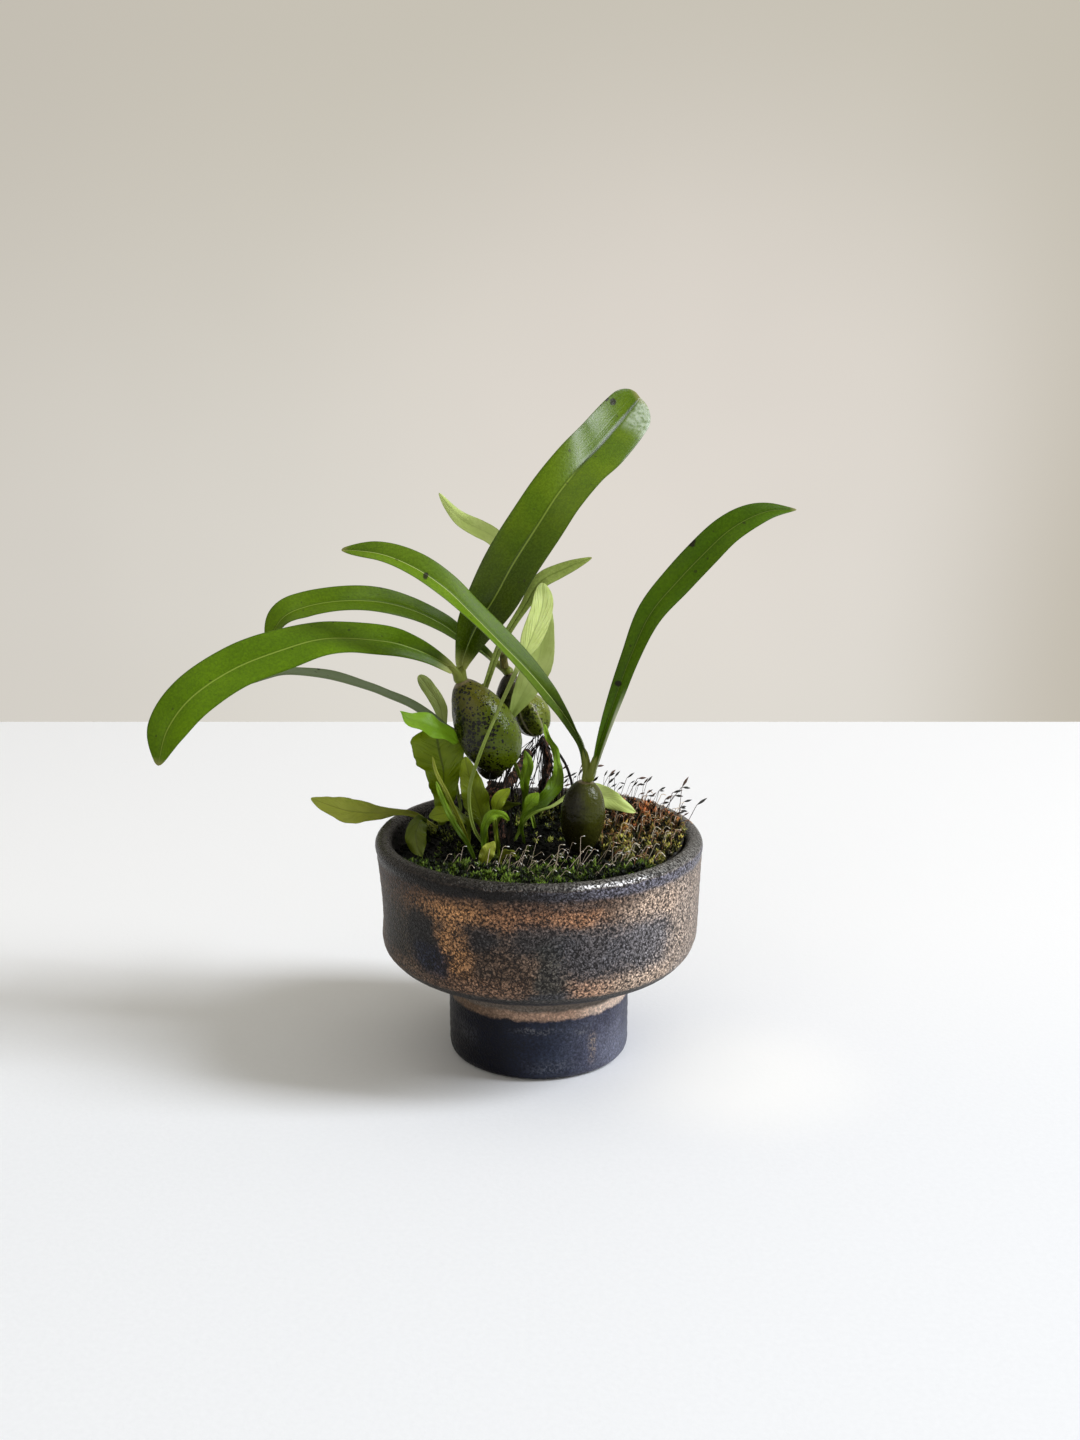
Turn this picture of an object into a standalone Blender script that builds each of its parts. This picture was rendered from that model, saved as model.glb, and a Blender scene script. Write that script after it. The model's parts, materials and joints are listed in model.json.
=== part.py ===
"""Potted bulbophyllum orchid.

A clump of bulbophyllum pseudobulbs with seven leaves, mossy potting mix and a small creeping fern,
in a stoneware pedestal pot. Origin: centre of the foot's underside. +Z up, -Y is the front.
Control points and sizes are in millimetres; MM turns them into metres.
"""
import math

import bmesh
import bpy
from mathutils import Vector

MM = 0.001
GAP = 0.3                    # clearance between pieces that rest on each other

# Pot
FOOT_RADIUS = 25.5
FOOT_ROUND = 3.0             # rounding of the foot's lower edge
FOOT_TOP = 20.0              # the cove under the bowl starts here
COVE = (26.0, 24.0)          # handle of the cove
UNDERSIDE = [(30.0, 25.5), (38.5, 28.5)]
CORNER = (44.5, 31.0)        # handle of the curve that turns the underside up into the wall
WALL_FOOT = (44.9, 38.0)
RIM_RADIUS = 46.0
RIM_HEIGHT = 64.5
LIP = 2.5                    # half the thickness of the rolled lip
WALL = 4.6
FLOOR_HEIGHT = 30.0
FLOOR_CURVE = 12.0           # height over which the floor curves up into the wall
POT_STEPS = 40

# Potting mix
GROUND = 57.8                # mean height of its surface
GROUND_TILT = 0.05           # it rises towards +X
MIX_STEPS = 32
MOSS_THICK = 2.2

LEAF_THICK = 0.9
FROND_THICK = 0.7

parts = None                 # the collection that holds every sub-part


# ---------------------------------------------------------------- scene and materials

def clear_scene():
    for item in list(bpy.data.objects):
        bpy.data.objects.remove(item, do_unlink=True)


def material(name, colour, roughness):
    mat = bpy.data.materials.new(name)
    mat.use_nodes = True
    shader = mat.node_tree.nodes["Principled BSDF"]
    shader.inputs["Base Color"].default_value = (*colour, 1.0)
    shader.inputs["Roughness"].default_value = roughness
    shader.inputs["Metallic"].default_value = 0.0
    mat.diffuse_color = (*colour, 1.0)
    return mat


def add_part(name, mesh, mat):
    obj = bpy.data.objects.new(name, mesh)
    parts.objects.link(obj)
    mesh.materials.clear()
    mesh.materials.append(mat)
    mesh.shade_smooth()
    return obj


def finish_bmesh(bm, name):
    mesh = bpy.data.meshes.new(name)
    bm.to_mesh(mesh)
    bm.free()
    return mesh


# ---------------------------------------------------------------- curves and stations

def curve_through(rows, fineness=16):
    """Catmull-Rom curve through the rows; every column is interpolated alike."""
    first = [2 * a - b for a, b in zip(rows[0], rows[1])]
    last = [2 * a - b for a, b in zip(rows[-1], rows[-2])]
    padded = [first, *rows, last]
    points = []
    for i in range(len(rows) - 1):
        for step in range(fineness):
            t = step / fineness
            points.append([0.5 * (2 * b + (c - a) * t + (2 * a - 5 * b + 4 * c - d) * t * t
                                  + (3 * b - a - 3 * c + d) * t ** 3)
                           for a, b, c, d in zip(*padded[i:i + 4])])
    points.append(list(rows[-1]))
    return points


def even_stations(rows, count):
    """The curve through the rows, read at equal distances along its first three columns."""
    points = curve_through(rows)
    travelled = [0.0]
    for a, b in zip(points, points[1:]):
        travelled.append(travelled[-1] + math.dist(a[:3], b[:3]))
    length = travelled[-1]
    result = []
    seg = 0
    for i in range(count):
        want = length * i / (count - 1)
        while seg < len(points) - 2 and travelled[seg + 1] < want:
            seg += 1
        span = travelled[seg + 1] - travelled[seg]
        mix = min(1.0, (want - travelled[seg]) / span)
        result.append([a + (b - a) * mix for a, b in zip(points[seg], points[seg + 1])])
    return result, length


def quadratic(start, handle, end, count):
    """Points of a quadratic curve, without its first point."""
    result = []
    for i in range(1, count + 1):
        t = i / count
        result.append(tuple((1 - t) ** 2 * a + 2 * t * (1 - t) * h + t * t * b
                            for a, h, b in zip(start, handle, end)))
    return result


def arc(centre, radius, start, end, count):
    """Points of an arc in the (r, z) plane, angles in degrees."""
    result = []
    for i in range(count + 1):
        angle = math.radians(start + (end - start) * i / count)
        result.append((centre[0] + radius * math.cos(angle), centre[1] + radius * math.sin(angle)))
    return result


def turned(name, profile, steps):
    """Mesh of a profile in (r, z) turned about Z with a Screw modifier."""
    bm = bmesh.new()
    verts = [bm.verts.new((r * MM, 0, z * MM)) for r, z in profile]
    for a, b in zip(verts, verts[1:]):
        bm.edges.new((a, b))
    obj = bpy.data.objects.new(name, finish_bmesh(bm, name + "_profile"))
    parts.objects.link(obj)
    screw = obj.modifiers.new("turn", "SCREW")
    screw.steps = steps
    screw.render_steps = steps
    screw.use_merge_vertices = True
    screw.merge_threshold = 0.0001
    bpy.context.view_layer.update()
    mesh = bpy.data.meshes.new_from_object(obj.evaluated_get(bpy.context.evaluated_depsgraph_get()))
    bpy.data.objects.remove(obj, do_unlink=True)
    return mesh


# ---------------------------------------------------------------- pot and ground

def inner_radius(z):
    """Radius of the bowl's inside at a height."""
    base = FLOOR_HEIGHT + FLOOR_CURVE
    if z >= base:
        return WALL_FOOT[0] - WALL + (RIM_RADIUS - WALL_FOOT[0]) * (z - base) / (RIM_HEIGHT - base)
    return (WALL_FOOT[0] - WALL) * math.sqrt(max(0.0, 1 - ((base - z) / (base - FLOOR_HEIGHT)) ** 2))


def bowl_inside(clearance, top, count=6):
    """Inside of the bowl from the floor to a height, pulled in by a clearance."""
    base = FLOOR_HEIGHT + FLOOR_CURVE
    points = []
    for i in range(count):
        angle = math.radians(90 * i / count)
        radius = (WALL_FOOT[0] - WALL) * math.sin(angle)
        depth = (base - FLOOR_HEIGHT) * math.cos(angle)
        points.append((max(0.0, radius - clearance * math.sin(angle)),
                       base - depth + clearance * math.cos(angle)))
    points.append((inner_radius(base) - clearance, base))
    points.append((inner_radius(top) - clearance, top))
    return points


def make_pot(mat):
    lip_centre = (RIM_RADIUS - LIP, RIM_HEIGHT - LIP)
    profile = bowl_inside(0.0, RIM_HEIGHT - LIP - 2)
    profile += arc(lip_centre, LIP, 170, 0, 6)
    profile += [(45.5, 52.0), (45.15, 44.0), WALL_FOOT]
    profile += quadratic(WALL_FOOT, CORNER, UNDERSIDE[1], 6)
    profile.append(UNDERSIDE[0])
    profile += quadratic(UNDERSIDE[0], COVE, (FOOT_RADIUS, FOOT_TOP), 4)
    profile += arc((FOOT_RADIUS - FOOT_ROUND, FOOT_ROUND), FOOT_ROUND, 0, -90, 4)
    profile.append((0.0, 0.0))
    return add_part("pot", turned("pot", profile, POT_STEPS), mat)


def ground(x, y):
    """Height of the potting mix's surface."""
    waves = 0.7 * math.sin(0.17 * x + 1.0) * math.cos(0.14 * y) + 0.4 * math.sin(0.11 * (x - y))
    return GROUND + GROUND_TILT * x + waves


def make_potting_mix(mat):
    rings = [0, 7, 14, 21, 28, 34.5]
    side = bowl_inside(GAP, GROUND - 3)
    profile = [(r, GROUND) for r in rings] + [(inner_radius(GROUND) - GAP, GROUND)]
    profile += list(reversed(side))
    mesh = turned("potting_mix", profile, MIX_STEPS)
    for vert in mesh.vertices:
        if vert.co.z > (GROUND - 1) * MM:
            vert.co.z = ground(vert.co.x / MM, vert.co.y / MM) * MM
    return add_part("potting_mix", mesh, mat)


def make_moss(name, mat, start, end, inner, outer, columns):
    """A pad of moss on the mix, between two azimuths (degrees) and two radii."""
    bm = bmesh.new()
    bmesh.ops.create_grid(bm, x_segments=columns, y_segments=4, size=1.0)
    for vert in bm.verts:
        along = (vert.co.x + 1) / 2
        across = (1 - vert.co.y) / 2
        angle = math.radians(start + (end - start) * along)
        near = outer - (outer - inner) * (0.35 + 0.65 * math.sin(math.pi * along))
        radius = near + (outer - near) * across
        x, y = radius * math.cos(angle), radius * math.sin(angle)
        vert.co = Vector((x, y, ground(x, y) + GAP + 0.3)) * MM
    bmesh.ops.recalc_face_normals(bm, faces=bm.faces)
    if sum(face.normal.z for face in bm.faces) < 0:
        bmesh.ops.reverse_faces(bm, faces=bm.faces)
    obj = add_part(name, finish_bmesh(bm, name), mat)
    solid = obj.modifiers.new("thickness", "SOLIDIFY")
    solid.thickness = MOSS_THICK * MM
    solid.offset = 1.0
    return obj


# ---------------------------------------------------------------- plant pieces

def make_bulb(name, mat, top, bottom, radius, egg=0.25, ribs=0):
    """Pseudobulb: a sphere drawn out between two points, narrower at its top."""
    top, bottom = Vector(top), Vector(bottom)
    axis = top - bottom
    frame = axis.to_track_quat("Z", "Y").to_matrix()
    bm = bmesh.new()
    bmesh.ops.create_uvsphere(bm, u_segments=16, v_segments=12, radius=1.0)
    for vert in bm.verts:
        height = vert.co.z
        narrow = 1 - egg * height
        angle = math.atan2(vert.co.y, vert.co.x)
        rib = 1 + 0.06 * math.cos(ribs * angle) if ribs else 1.0
        local = Vector((vert.co.x * radius * narrow * rib,
                        vert.co.y * radius * narrow * rib,
                        height * axis.length / 2))
        vert.co = (frame @ local + (top + bottom) / 2) * MM
    return add_part(name, finish_bmesh(bm, name), mat)


def blade_frame(route, count):
    """Midrib points, half widths and the face and side directions along a leaf."""
    rows, length = even_stations(route, count)
    mids = [Vector(row[:3]) for row in rows]
    frames = []
    for i, row in enumerate(rows):
        along = (mids[min(i + 1, count - 1)] - mids[max(i - 1, 0)]).normalized()
        front = Vector((0, -1, 0))
        front = (front - along * along.dot(front)).normalized()
        side = along.cross(front)
        roll = math.radians(row[4])
        face = front * math.cos(roll) + side * math.sin(roll)
        frames.append((mids[i], row[3], face, along.cross(face)))
    return frames, length


def make_blade(name, mat, route, fold, tip, rows, columns, thickness, waves=0.0):
    """Leaf on a route of (x, y, z, half width, roll) stations, folded along its midrib.

    Roll 0 faces the front; fold lifts both halves; tip is the length of the rounded end.
    """
    frames, length = blade_frame(route, rows + 1)
    lift, spread = math.sin(math.radians(fold)), math.cos(math.radians(fold))
    bm = bmesh.new()
    bmesh.ops.create_grid(bm, x_segments=columns, y_segments=rows, size=1.0)
    for vert in bm.verts:
        across = vert.co.x
        station = round((vert.co.y + 1) / 2 * rows)
        mid, half, face, side = frames[station]
        left = length * (1 - station / rows)
        if left < tip:
            half *= math.sqrt(1 - (1 - left / tip) ** 2)
        half = max(half, 0.45)
        ripple = waves * abs(across) * math.sin(station * 1.9 + across)
        vert.co = (mid + side * (half * across * spread)
                   + face * (half * abs(across) * lift + ripple)) * MM
    obj = add_part(name, finish_bmesh(bm, name), mat)
    solid = obj.modifiers.new("thickness", "SOLIDIFY")
    solid.thickness = thickness * MM
    solid.offset = 0.0
    return obj


def make_stem(name, mat, route, radius, resolution=2):
    """Round stem or root: a curve with a bevel, its radius a factor in the fourth column."""
    curve = bpy.data.curves.new(name, "CURVE")
    curve.dimensions = "3D"
    curve.bevel_depth = radius * MM
    curve.bevel_resolution = resolution
    curve.use_fill_caps = True
    points, _ = even_stations(route, 3 * len(route) - 2)
    spline = curve.splines.new("POLY")
    spline.points.add(len(points) - 1)
    for target, row in zip(spline.points, points):
        target.co = (*(Vector(row[:3]) * MM), 1.0)
        target.radius = row[3] if len(row) > 3 else 1.0
    curve.materials.append(mat)
    obj = bpy.data.objects.new(name, curve)
    parts.objects.link(obj)
    return obj


# ---------------------------------------------------------------- the plant's layout

BULBS = {
    "bulb_left": dict(top=(-21.8, 4, 107.5), bottom=(-8.8, 3, 82), radius=8.3, egg=0.24),
    "bulb_right": dict(top=(13, -4, 81), bottom=(11.5, -4, 59.6), radius=6.2, egg=-0.06),
    "bulb_back_dark": dict(top=(-7.8, 22, 105.5), bottom=(-9.5, 22, 92), radius=3.7, egg=0.1),
    "bulb_back_old": dict(top=(-5, 29, 97), bottom=(0.5, 29, 85), radius=5.6, egg=0.0, ribs=7),
    "bulb_hidden_upper": dict(top=(-16, 17, 101), bottom=(-18, 18, 88), radius=4.5, egg=0.2),
    "bulb_hidden_lower": dict(top=(-17, 20, 86), bottom=(-12, 17, 75), radius=4.2, egg=0.2),
}

# Each leaf: stations of (x, y, z, half width, roll), fold, tip, rows.
LEAVES = {
    "leaf_upright": dict(fold=18, tip=7, rows=20, route=[
        (-21.5, 4, 110, 1.5, 0), (-20.5, 4, 114.5, 3.7, 0), (-17.3, 4, 122, 6.4, -8),
        (-12, 4, 130.5, 7.7, -17), (-7, 5, 139.5, 8.1, -20), (0, 8.5, 150, 8.2, -21),
        (5.2, 13, 157.5, 8.1, -19), (11.5, 19.5, 164.5, 8, -15), (17.8, 28, 170, 8.1, -8),
        (23.5, 35.5, 176, 7.8, 2), (29, 41.5, 182, 6.5, 10)]),
    "leaf_left_long": dict(fold=6, tip=9, rows=20, route=[
        (-23.2, 2, 110.3, 1.2, 0), (-25, 1.6, 112, 2, 5), (-30, 1, 115, 2.9, 20),
        (-35, -1, 117.5, 3.8, 35), (-41, -3, 119.5, 4.8, 47), (-51, -7, 121.3, 5.7, 56),
        (-58.5, -11, 121.8, 6.4, 54), (-66, -15, 120.5, 6.8, 47), (-79, -21, 116.5, 6.8, 39),
        (-89.5, -28, 110.5, 6.9, 34), (-95.5, -33, 103, 6, 30), (-98, -36, 94, 3, 28)]),
    "leaf_left_upper": dict(fold=18, tip=8, rows=18, route=[
        (-12, 25, 107, 1.5, 50), (-17, 24, 111.5, 2.3, 50), (-23, 22, 116, 2.9, 50),
        (-28, 20, 120, 3.5, 50), (-36, 17, 124.5, 4.1, 50), (-45, 14, 127.3, 4.6, 51),
        (-55, 10, 128.3, 4.9, 52), (-64, 7, 127.3, 5, 52), (-70, 3, 125, 4.7, 48),
        (-74, -1, 119, 3, 45)]),
    "leaf_left_lower": dict(fold=10, tip=8, rows=18, route=[
        (-19, 20, 86, 1.5, 95), (-25.5, 19, 88.5, 2.8, 104), (-31.5, 20, 92.7, 3.8, 110),
        (-37, 21, 96.1, 4.6, 113), (-43, 22, 98.5, 5.1, 114), (-49, 24, 100.4, 5.4, 114),
        (-61, 28, 102.8, 5.4, 114), (-73, 32, 103.2, 5, 112), (-80, 34, 101.5, 4.1, 108),
        (-87, 36, 98.5, 2, 106)]),
    "leaf_crossing": dict(fold=22, tip=9, rows=18, route=[
        (13, -3.2, 82, 1.2, 0), (12.3, -4.2, 90, 1.4, -30), (9.5, -5, 96, 1.6, -25),
        (5.5, -6, 102, 2, 10), (1.5, -6.5, 107, 3.2, 45), (-3.5, -7.5, 113, 4.2, 60),
        (-10.5, -8.5, 120.5, 4.8, 64), (-18.5, -9.5, 129, 5, 62), (-25, -10, 135.5, 4.9, 56),
        (-33, -10, 141, 4.8, 55), (-42, -9, 144.5, 4, 54), (-52.5, -7, 145.5, 2, 48)]),
    "leaf_right": dict(fold=18, tip=12, rows=18, route=[
        (14.6, -5.6, 82.2, 0.9, 0), (17.2, -5.4, 92.5, 1.8, -5), (20.8, -5, 104, 2.3, -10),
        (25, -5, 116, 2.8, -16), (30.3, -3.5, 127.5, 3.8, -22), (38, -1, 136.3, 4.6, -25),
        (45.2, 1, 143.5, 4.8, -28), (51, 3, 148.6, 4.5, -32), (57, 5, 152, 4, -38),
        (63, 7, 153.8, 2.9, -44), (70.5, 9, 154, 1.5, -50)]),
    "leaf_small_back": dict(fold=10, tip=7, rows=12, route=[
        (-15.5, 14, 102, 1.1, 0), (-11.5, 14, 113.5, 1.1, 0), (-8, 14, 120, 1.1, 0),
        (-4, 15, 126, 1.4, -15), (0.3, 16, 132.5, 2.4, -30), (6, 18, 135.5, 2.2, -30),
        (15, 20, 139, 1, -30)]),
}

FRONDS = {
    "frond_tall_stalk": dict(tip=5, rows=22, route=[
        (-14, -9, 62, 0.5, 0), (-18, -9, 69, 0.5, 0), (-19, -10, 79, 0.5, 0),
        (-16, -10, 90, 0.5, 0), (-10, -8, 104, 0.5, 0), (-5, -3, 114, 1, 0), (-2, 0, 120, 3, 0),
        (1, 4, 128, 3, 0), (1, 8, 134, 2, 0)]),
    "frond_tall": dict(tip=5, rows=26, route=[
        (-1, 17, 60, 0.6, 0), (-4, 16, 72, 0.6, 0), (-8, 14, 84, 0.6, 0), (-9, 13, 91, 0.7, 0),
        (-7.5, 12, 95.5, 1.2, 0), (-5, 12, 100.5, 2.9, 0), (-2.5, 12, 105.5, 3.8, 0),
        (0, 12, 111.5, 4, 0), (1, 13, 118, 3.5, 0), (1, 14, 123.5, 3, 0), (-0.5, 17, 130, 2.6, 0),
        (-5.5, 20, 137, 2.3, 0), (-12.5, 24, 144, 2.4, 0), (-17, 25, 146.5, 2.5, 0),
        (-21.5, 24, 149, 2.1, 0), (-25, 23, 152.5, 1.3, 0), (-28, 22, 157, 0.7, 0)]),
    "frond_pale": dict(tip=4, rows=14, route=[
        (-22.5, 26, 60, 0.5, 0), (-24.5, 26, 72, 0.6, 0), (-27.6, 26, 86.5, 1, 0), (-28.6, 26, 94, 2, 0),
        (-31.7, 26.5, 99.4, 2, 0), (-34.8, 27, 103.5, 2, 0)]),
    "frond_broad": dict(tip=4, rows=10, route=[
        (-28, 11, 63, 1, 0), (-27.5, 10.5, 67, 2, 0), (-27, 10, 71, 3, 0), (-27, 9, 75.5, 4, 0),
        (-27, 8, 80.5, 5.4, 0), (-28, 8.5, 85, 7.1, 0), (-28.6, 8.7, 89, 7.5, 0), (-29, 8, 93, 7, 0)]),
    "frond_beside_broad": dict(tip=5, rows=12, route=[
        (-14.5, -3, 62, 0.7, 0), (-15.3, -4, 67, 1.2, 0), (-16, -4, 70.5, 2.8, 0),
        (-17.5, -4.5, 76, 3.7, 0), (-19, -5, 81.5, 2.8, 0), (-20.3, -5.5, 88, 1.6, 0)]),
    "frond_over_rim": dict(tip=5, rows=10, route=[
        (-29, 11, 62, 0.6, 30), (-35, 12.5, 65.2, 0.8, 30), (-41, 14, 66, 1.1, 30),
        (-46, 15, 65.3, 1.9, 30), (-51, 16, 65.2, 3.3, 30), (-56, 16.5, 65.7, 3.6, 30),
        (-62, 17, 67.6, 2.4, 30), (-66, 17, 69.2, 1.1, 30)]),
    "frond_drooping": dict(tip=4, rows=12, route=[
        (-31, 6, 59.5, 0.6, 0), (-33, 4, 65, 0.8, 0), (-33, 2, 67.5, 1.8, 0), (-34.5, 0, 64.5, 2.9, 0),
        (-34, -2, 61, 2.6, 0), (-32.5, -4, 58.5, 1, 0)]),
    "frond_low_left": dict(tip=4, rows=10, route=[
        (-20, 5, 59, 0.6, 0), (-20, 5, 65, 0.8, 20), (-23, 4, 68, 2, 50), (-26, 3, 69, 3, 50),
        (-31, 3, 68, 2, 50)]),
    "frond_strap": dict(tip=3, rows=8, route=[
        (-17.5, -11, 60, 0.5, 0), (-19.5, -11, 64.5, 0.7, 0), (-23.5, -11, 71, 0.8, 0),
        (-26.5, -11, 78, 0.7, 0), (-28, -11, 82.5, 0.5, 0)]),
    "frond_thin": dict(tip=3, rows=8, route=[
        (-18.5, -6, 60, 0.5, 0), (-20.7, -7, 67, 0.6, 0), (-23.3, -8, 73.7, 0.6, 0),
        (-25.4, -9, 79, 0.6, 0), (-28, -9, 84.5, 0.5, 0), (-29, -9, 89, 0.4, 0)]),
    "frond_small_arch": dict(tip=3, rows=8, route=[
        (-15, -12, 61, 0.5, 0), (-15, -12, 69, 1, 0), (-13, -12, 73, 1.5, 0), (-10, -11, 73, 1, 0),
        (-8, -10, 71, 0.6, 0)]),
    "frond_oval_front": dict(tip=3, rows=6, route=[
        (-16, -17, 59, 0.6, 0), (-14, -17, 64, 2, 0), (-12, -16, 67, 1, 0)]),
    "frond_olive": dict(tip=3, rows=10, route=[
        (-11, -2, 60, 0.6, 0), (-12, -3, 67, 0.8, 20), (-11, -3, 72, 1.5, 40), (-9, -2, 73, 2, 40),
        (-5, -1, 73, 1, 40)]),
    "frond_upright_small": dict(tip=3, rows=10, route=[
        (-11, -8, 60, 0.5, 0), (-12, -8, 68, 0.6, 0), (-12, -7, 72, 0.8, 0), (-11, -7, 76, 2, 0),
        (-8, -6, 79, 1, 0)]),
    "frond_oval_centre": dict(tip=3, rows=10, route=[
        (-4, 3, 60, 0.5, 0), (-5, 2, 66, 0.5, 0), (-4, 2, 70, 0.6, 0), (-2, 2, 73, 2, 0),
        (0, 3, 75, 1, 0)]),
    "frond_wavy": dict(tip=3, rows=14, route=[
        (-6, 8, 61, 0.6, 0), (-4, 9, 66, 1.2, 0), (-1, 10, 69, 2, 0), (2, 11, 71.5, 2.3, 0),
        (4.5, 13, 74, 2.4, 0), (5.5, 14, 77.5, 1.6, 0), (5.2, 15, 81, 1, 0), (4.6, 15, 84.5, 1.1, 0),
        (2.6, 15, 88, 0.8, 0), (1.5, 15, 92, 0.6, 0)]),
    "frond_curled": dict(tip=3, rows=12, route=[
        (-5, 14, 60, 0.5, 0), (-4, 13, 71, 0.8, 0), (-4, 12, 76, 1.5, 0), (-3, 12, 81, 1.5, 0),
        (-4, 12, 85, 0.6, 0)]),
    "frond_right": dict(tip=4, rows=16, route=[
        (-7, 5, 60, 0.5, 0), (-3, 6, 67, 0.5, -20), (4, 7, 70, 0.5, -20), (9, 8, 73, 0.9, -20),
        (13, 9, 73.8, 2.4, -20), (17, 9, 72.6, 3.2, -20), (20.5, 9, 71.2, 2.8, -20),
        (24, 9, 69.4, 1.8, -20), (27.8, 9, 67.3, 0.8, -20)]),
    "frond_dry": dict(tip=3, rows=6, route=[
        (-11, -13, 59, 0.6, 0), (-10, -13, 62, 0.8, 20), (-8, -13, 63, 1.5, 40),
        (-6, -14, 62, 1, 40)]),
    "frond_flat": dict(tip=3, rows=6, route=[
        (-17, -13, 59, 0.6, 60), (-20, -14, 60, 0.9, 80), (-25, -15, 60, 0.6, 80)]),
}

# Rhizomes, stems and roots: stations of (x, y, z, thickness factor), and a radius.
STEMS = {
    "stump_left": dict(radius=3.6, mat="bark", route=[
        (-12, 6, 76, 0.8), (-13, 8, 70, 1.0), (-14, 10, 59, 1.1)]),
    "rhizome_link": dict(radius=1.3, mat="bark", route=[
        (-10, 13, 73, 1.0), (-6, 19, 77, 1.0), (-3, 26, 81, 0.9)]),
    "rhizome_back": dict(radius=1.3, mat="bark", route=[
        (1, 29.5, 84, 0.9), (1.6, 30, 81.5, 1.0), (2.7, 31, 77, 1.0), (2, 31, 72, 1.05),
        (0.7, 31, 66, 1.1), (0.5, 31, 60, 1.1)]),
    "old_flower_stem": dict(radius=1.2, mat="stem", route=[
        (-9.8, 21.3, 106.8, 1.0), (-10, 21.3, 109, 0.95), (-10, 21, 111.5, 1.05)]),
}

ROOTS = {
    "root_1": [(-3, 27, 80), (-7, 26, 78), (-10, 25, 72), (-11, 25, 65)],
    "root_2": [(-3, 29, 79), (-7, 29, 75), (-8, 30, 68), (-7, 31, 60)],
    "root_3": [(-1, 31, 80), (-3, 33, 75), (-4, 32, 68), (-4, 32, 60)],
    "root_4": [(4.6, 32.5, 79), (6.5, 34, 74), (7, 33, 67), (7, 32, 60)],
    "root_5": [(-9, 5, 77), (-9, 4, 71), (-8, 4, 65), (-9, 3, 60)],
    "root_6": [(-18, 12, 74), (-21, 14, 70), (-22, 16, 65), (-23, 17, 60)],
    "root_7": [(5, 28, 81), (8, 28, 76), (10, 29, 69), (11, 30, 61)],
}


def build():
    global parts
    clear_scene()
    parts = bpy.data.collections.new("potted_bulbophyllum")
    bpy.context.scene.collection.children.link(parts)
    stoneware = material("stoneware", (0.16, 0.12, 0.10), 0.45)
    soil = material("soil", (0.03, 0.02, 0.015), 0.95)
    moss = material("moss", (0.06, 0.10, 0.02), 0.9)
    bulb = material("bulb", (0.10, 0.12, 0.03), 0.35)
    leaf = material("leaf", (0.06, 0.17, 0.02), 0.35)
    frond = material("frond", (0.22, 0.35, 0.06), 0.5)
    stems = {"bark": material("bark", (0.09, 0.05, 0.03), 0.9),
             "stem": material("old_stem", (0.08, 0.10, 0.02), 0.6)}
    root = material("root", (0.02, 0.015, 0.01), 0.8)

    make_pot(stoneware)
    make_potting_mix(soil)
    make_moss("moss_front", moss, 208, 318, 27, 40, 20)
    make_moss("moss_right", moss, -38, 62, 22, 40, 18)
    make_moss("moss_back", moss, 66, 140, 33, 40, 14)
    for name, shape in BULBS.items():
        make_bulb(name, bulb, **shape)
    for name, shape in LEAVES.items():
        make_blade(name, leaf, columns=4, thickness=LEAF_THICK, **shape)
    for name, shape in FRONDS.items():
        make_blade(name, frond, fold=5, columns=2, thickness=FROND_THICK, waves=0.25, **shape)
    for name, shape in STEMS.items():
        make_stem(name, stems[shape["mat"]], shape["route"], shape["radius"])
    for name, route in ROOTS.items():
        make_stem(name, root, route, 0.45, resolution=1)


build()
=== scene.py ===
"""Looks of the potted bulbophyllum orchid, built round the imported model.

Lengths in the tables are millimetres, as in the model's own source; MM turns them into metres.
The pot, the bulbs and the blades are made by geometry node trees that follow a profile or a route.
Moss shoots, spore stalks and bark crumbs are scattered by one tree, each with a fixed seed.
"""
import json
import math
import random
from types import SimpleNamespace

import bmesh
import bpy
from mathutils import Matrix, Vector, noise

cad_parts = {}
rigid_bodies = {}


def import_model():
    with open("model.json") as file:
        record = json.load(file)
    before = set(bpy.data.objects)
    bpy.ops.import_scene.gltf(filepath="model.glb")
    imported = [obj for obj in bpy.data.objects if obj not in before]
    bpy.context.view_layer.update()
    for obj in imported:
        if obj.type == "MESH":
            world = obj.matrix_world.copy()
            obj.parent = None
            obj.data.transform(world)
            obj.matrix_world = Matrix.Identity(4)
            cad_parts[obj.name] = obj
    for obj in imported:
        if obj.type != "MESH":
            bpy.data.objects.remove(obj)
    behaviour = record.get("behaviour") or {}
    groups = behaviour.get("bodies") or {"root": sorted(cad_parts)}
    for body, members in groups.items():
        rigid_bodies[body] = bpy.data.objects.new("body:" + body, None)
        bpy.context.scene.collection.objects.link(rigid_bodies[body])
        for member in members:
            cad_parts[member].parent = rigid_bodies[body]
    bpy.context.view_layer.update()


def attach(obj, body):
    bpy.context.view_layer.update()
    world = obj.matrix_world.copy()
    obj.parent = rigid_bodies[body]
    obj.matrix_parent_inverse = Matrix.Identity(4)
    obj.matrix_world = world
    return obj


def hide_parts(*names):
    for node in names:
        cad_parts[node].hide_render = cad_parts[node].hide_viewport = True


MM = 0.001

# Pot, as in the model
FOOT_RADIUS = 25.5
FOOT_ROUND = 3.0
FOOT_TOP = 20.0
COVE = (26.0, 24.0)
UNDERSIDE = [(30.0, 25.5), (38.5, 28.5)]
CORNER = (44.5, 31.0)
WALL_FOOT = (44.9, 38.0)
RIM_RADIUS = 46.0
RIM_HEIGHT = 64.5
LIP = 2.5
WALL = 4.6
FLOOR_HEIGHT = 30.0
FLOOR_CURVE = 12.0
# Radius and height of points down the outer wall, under the lip
WALL_LINE = [(45.9, 61.0), (45.72, 60.0), (45.75, 59.0), (45.7, 57.2), (45.5, 52.0), (45.15, 44.0)]
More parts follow.
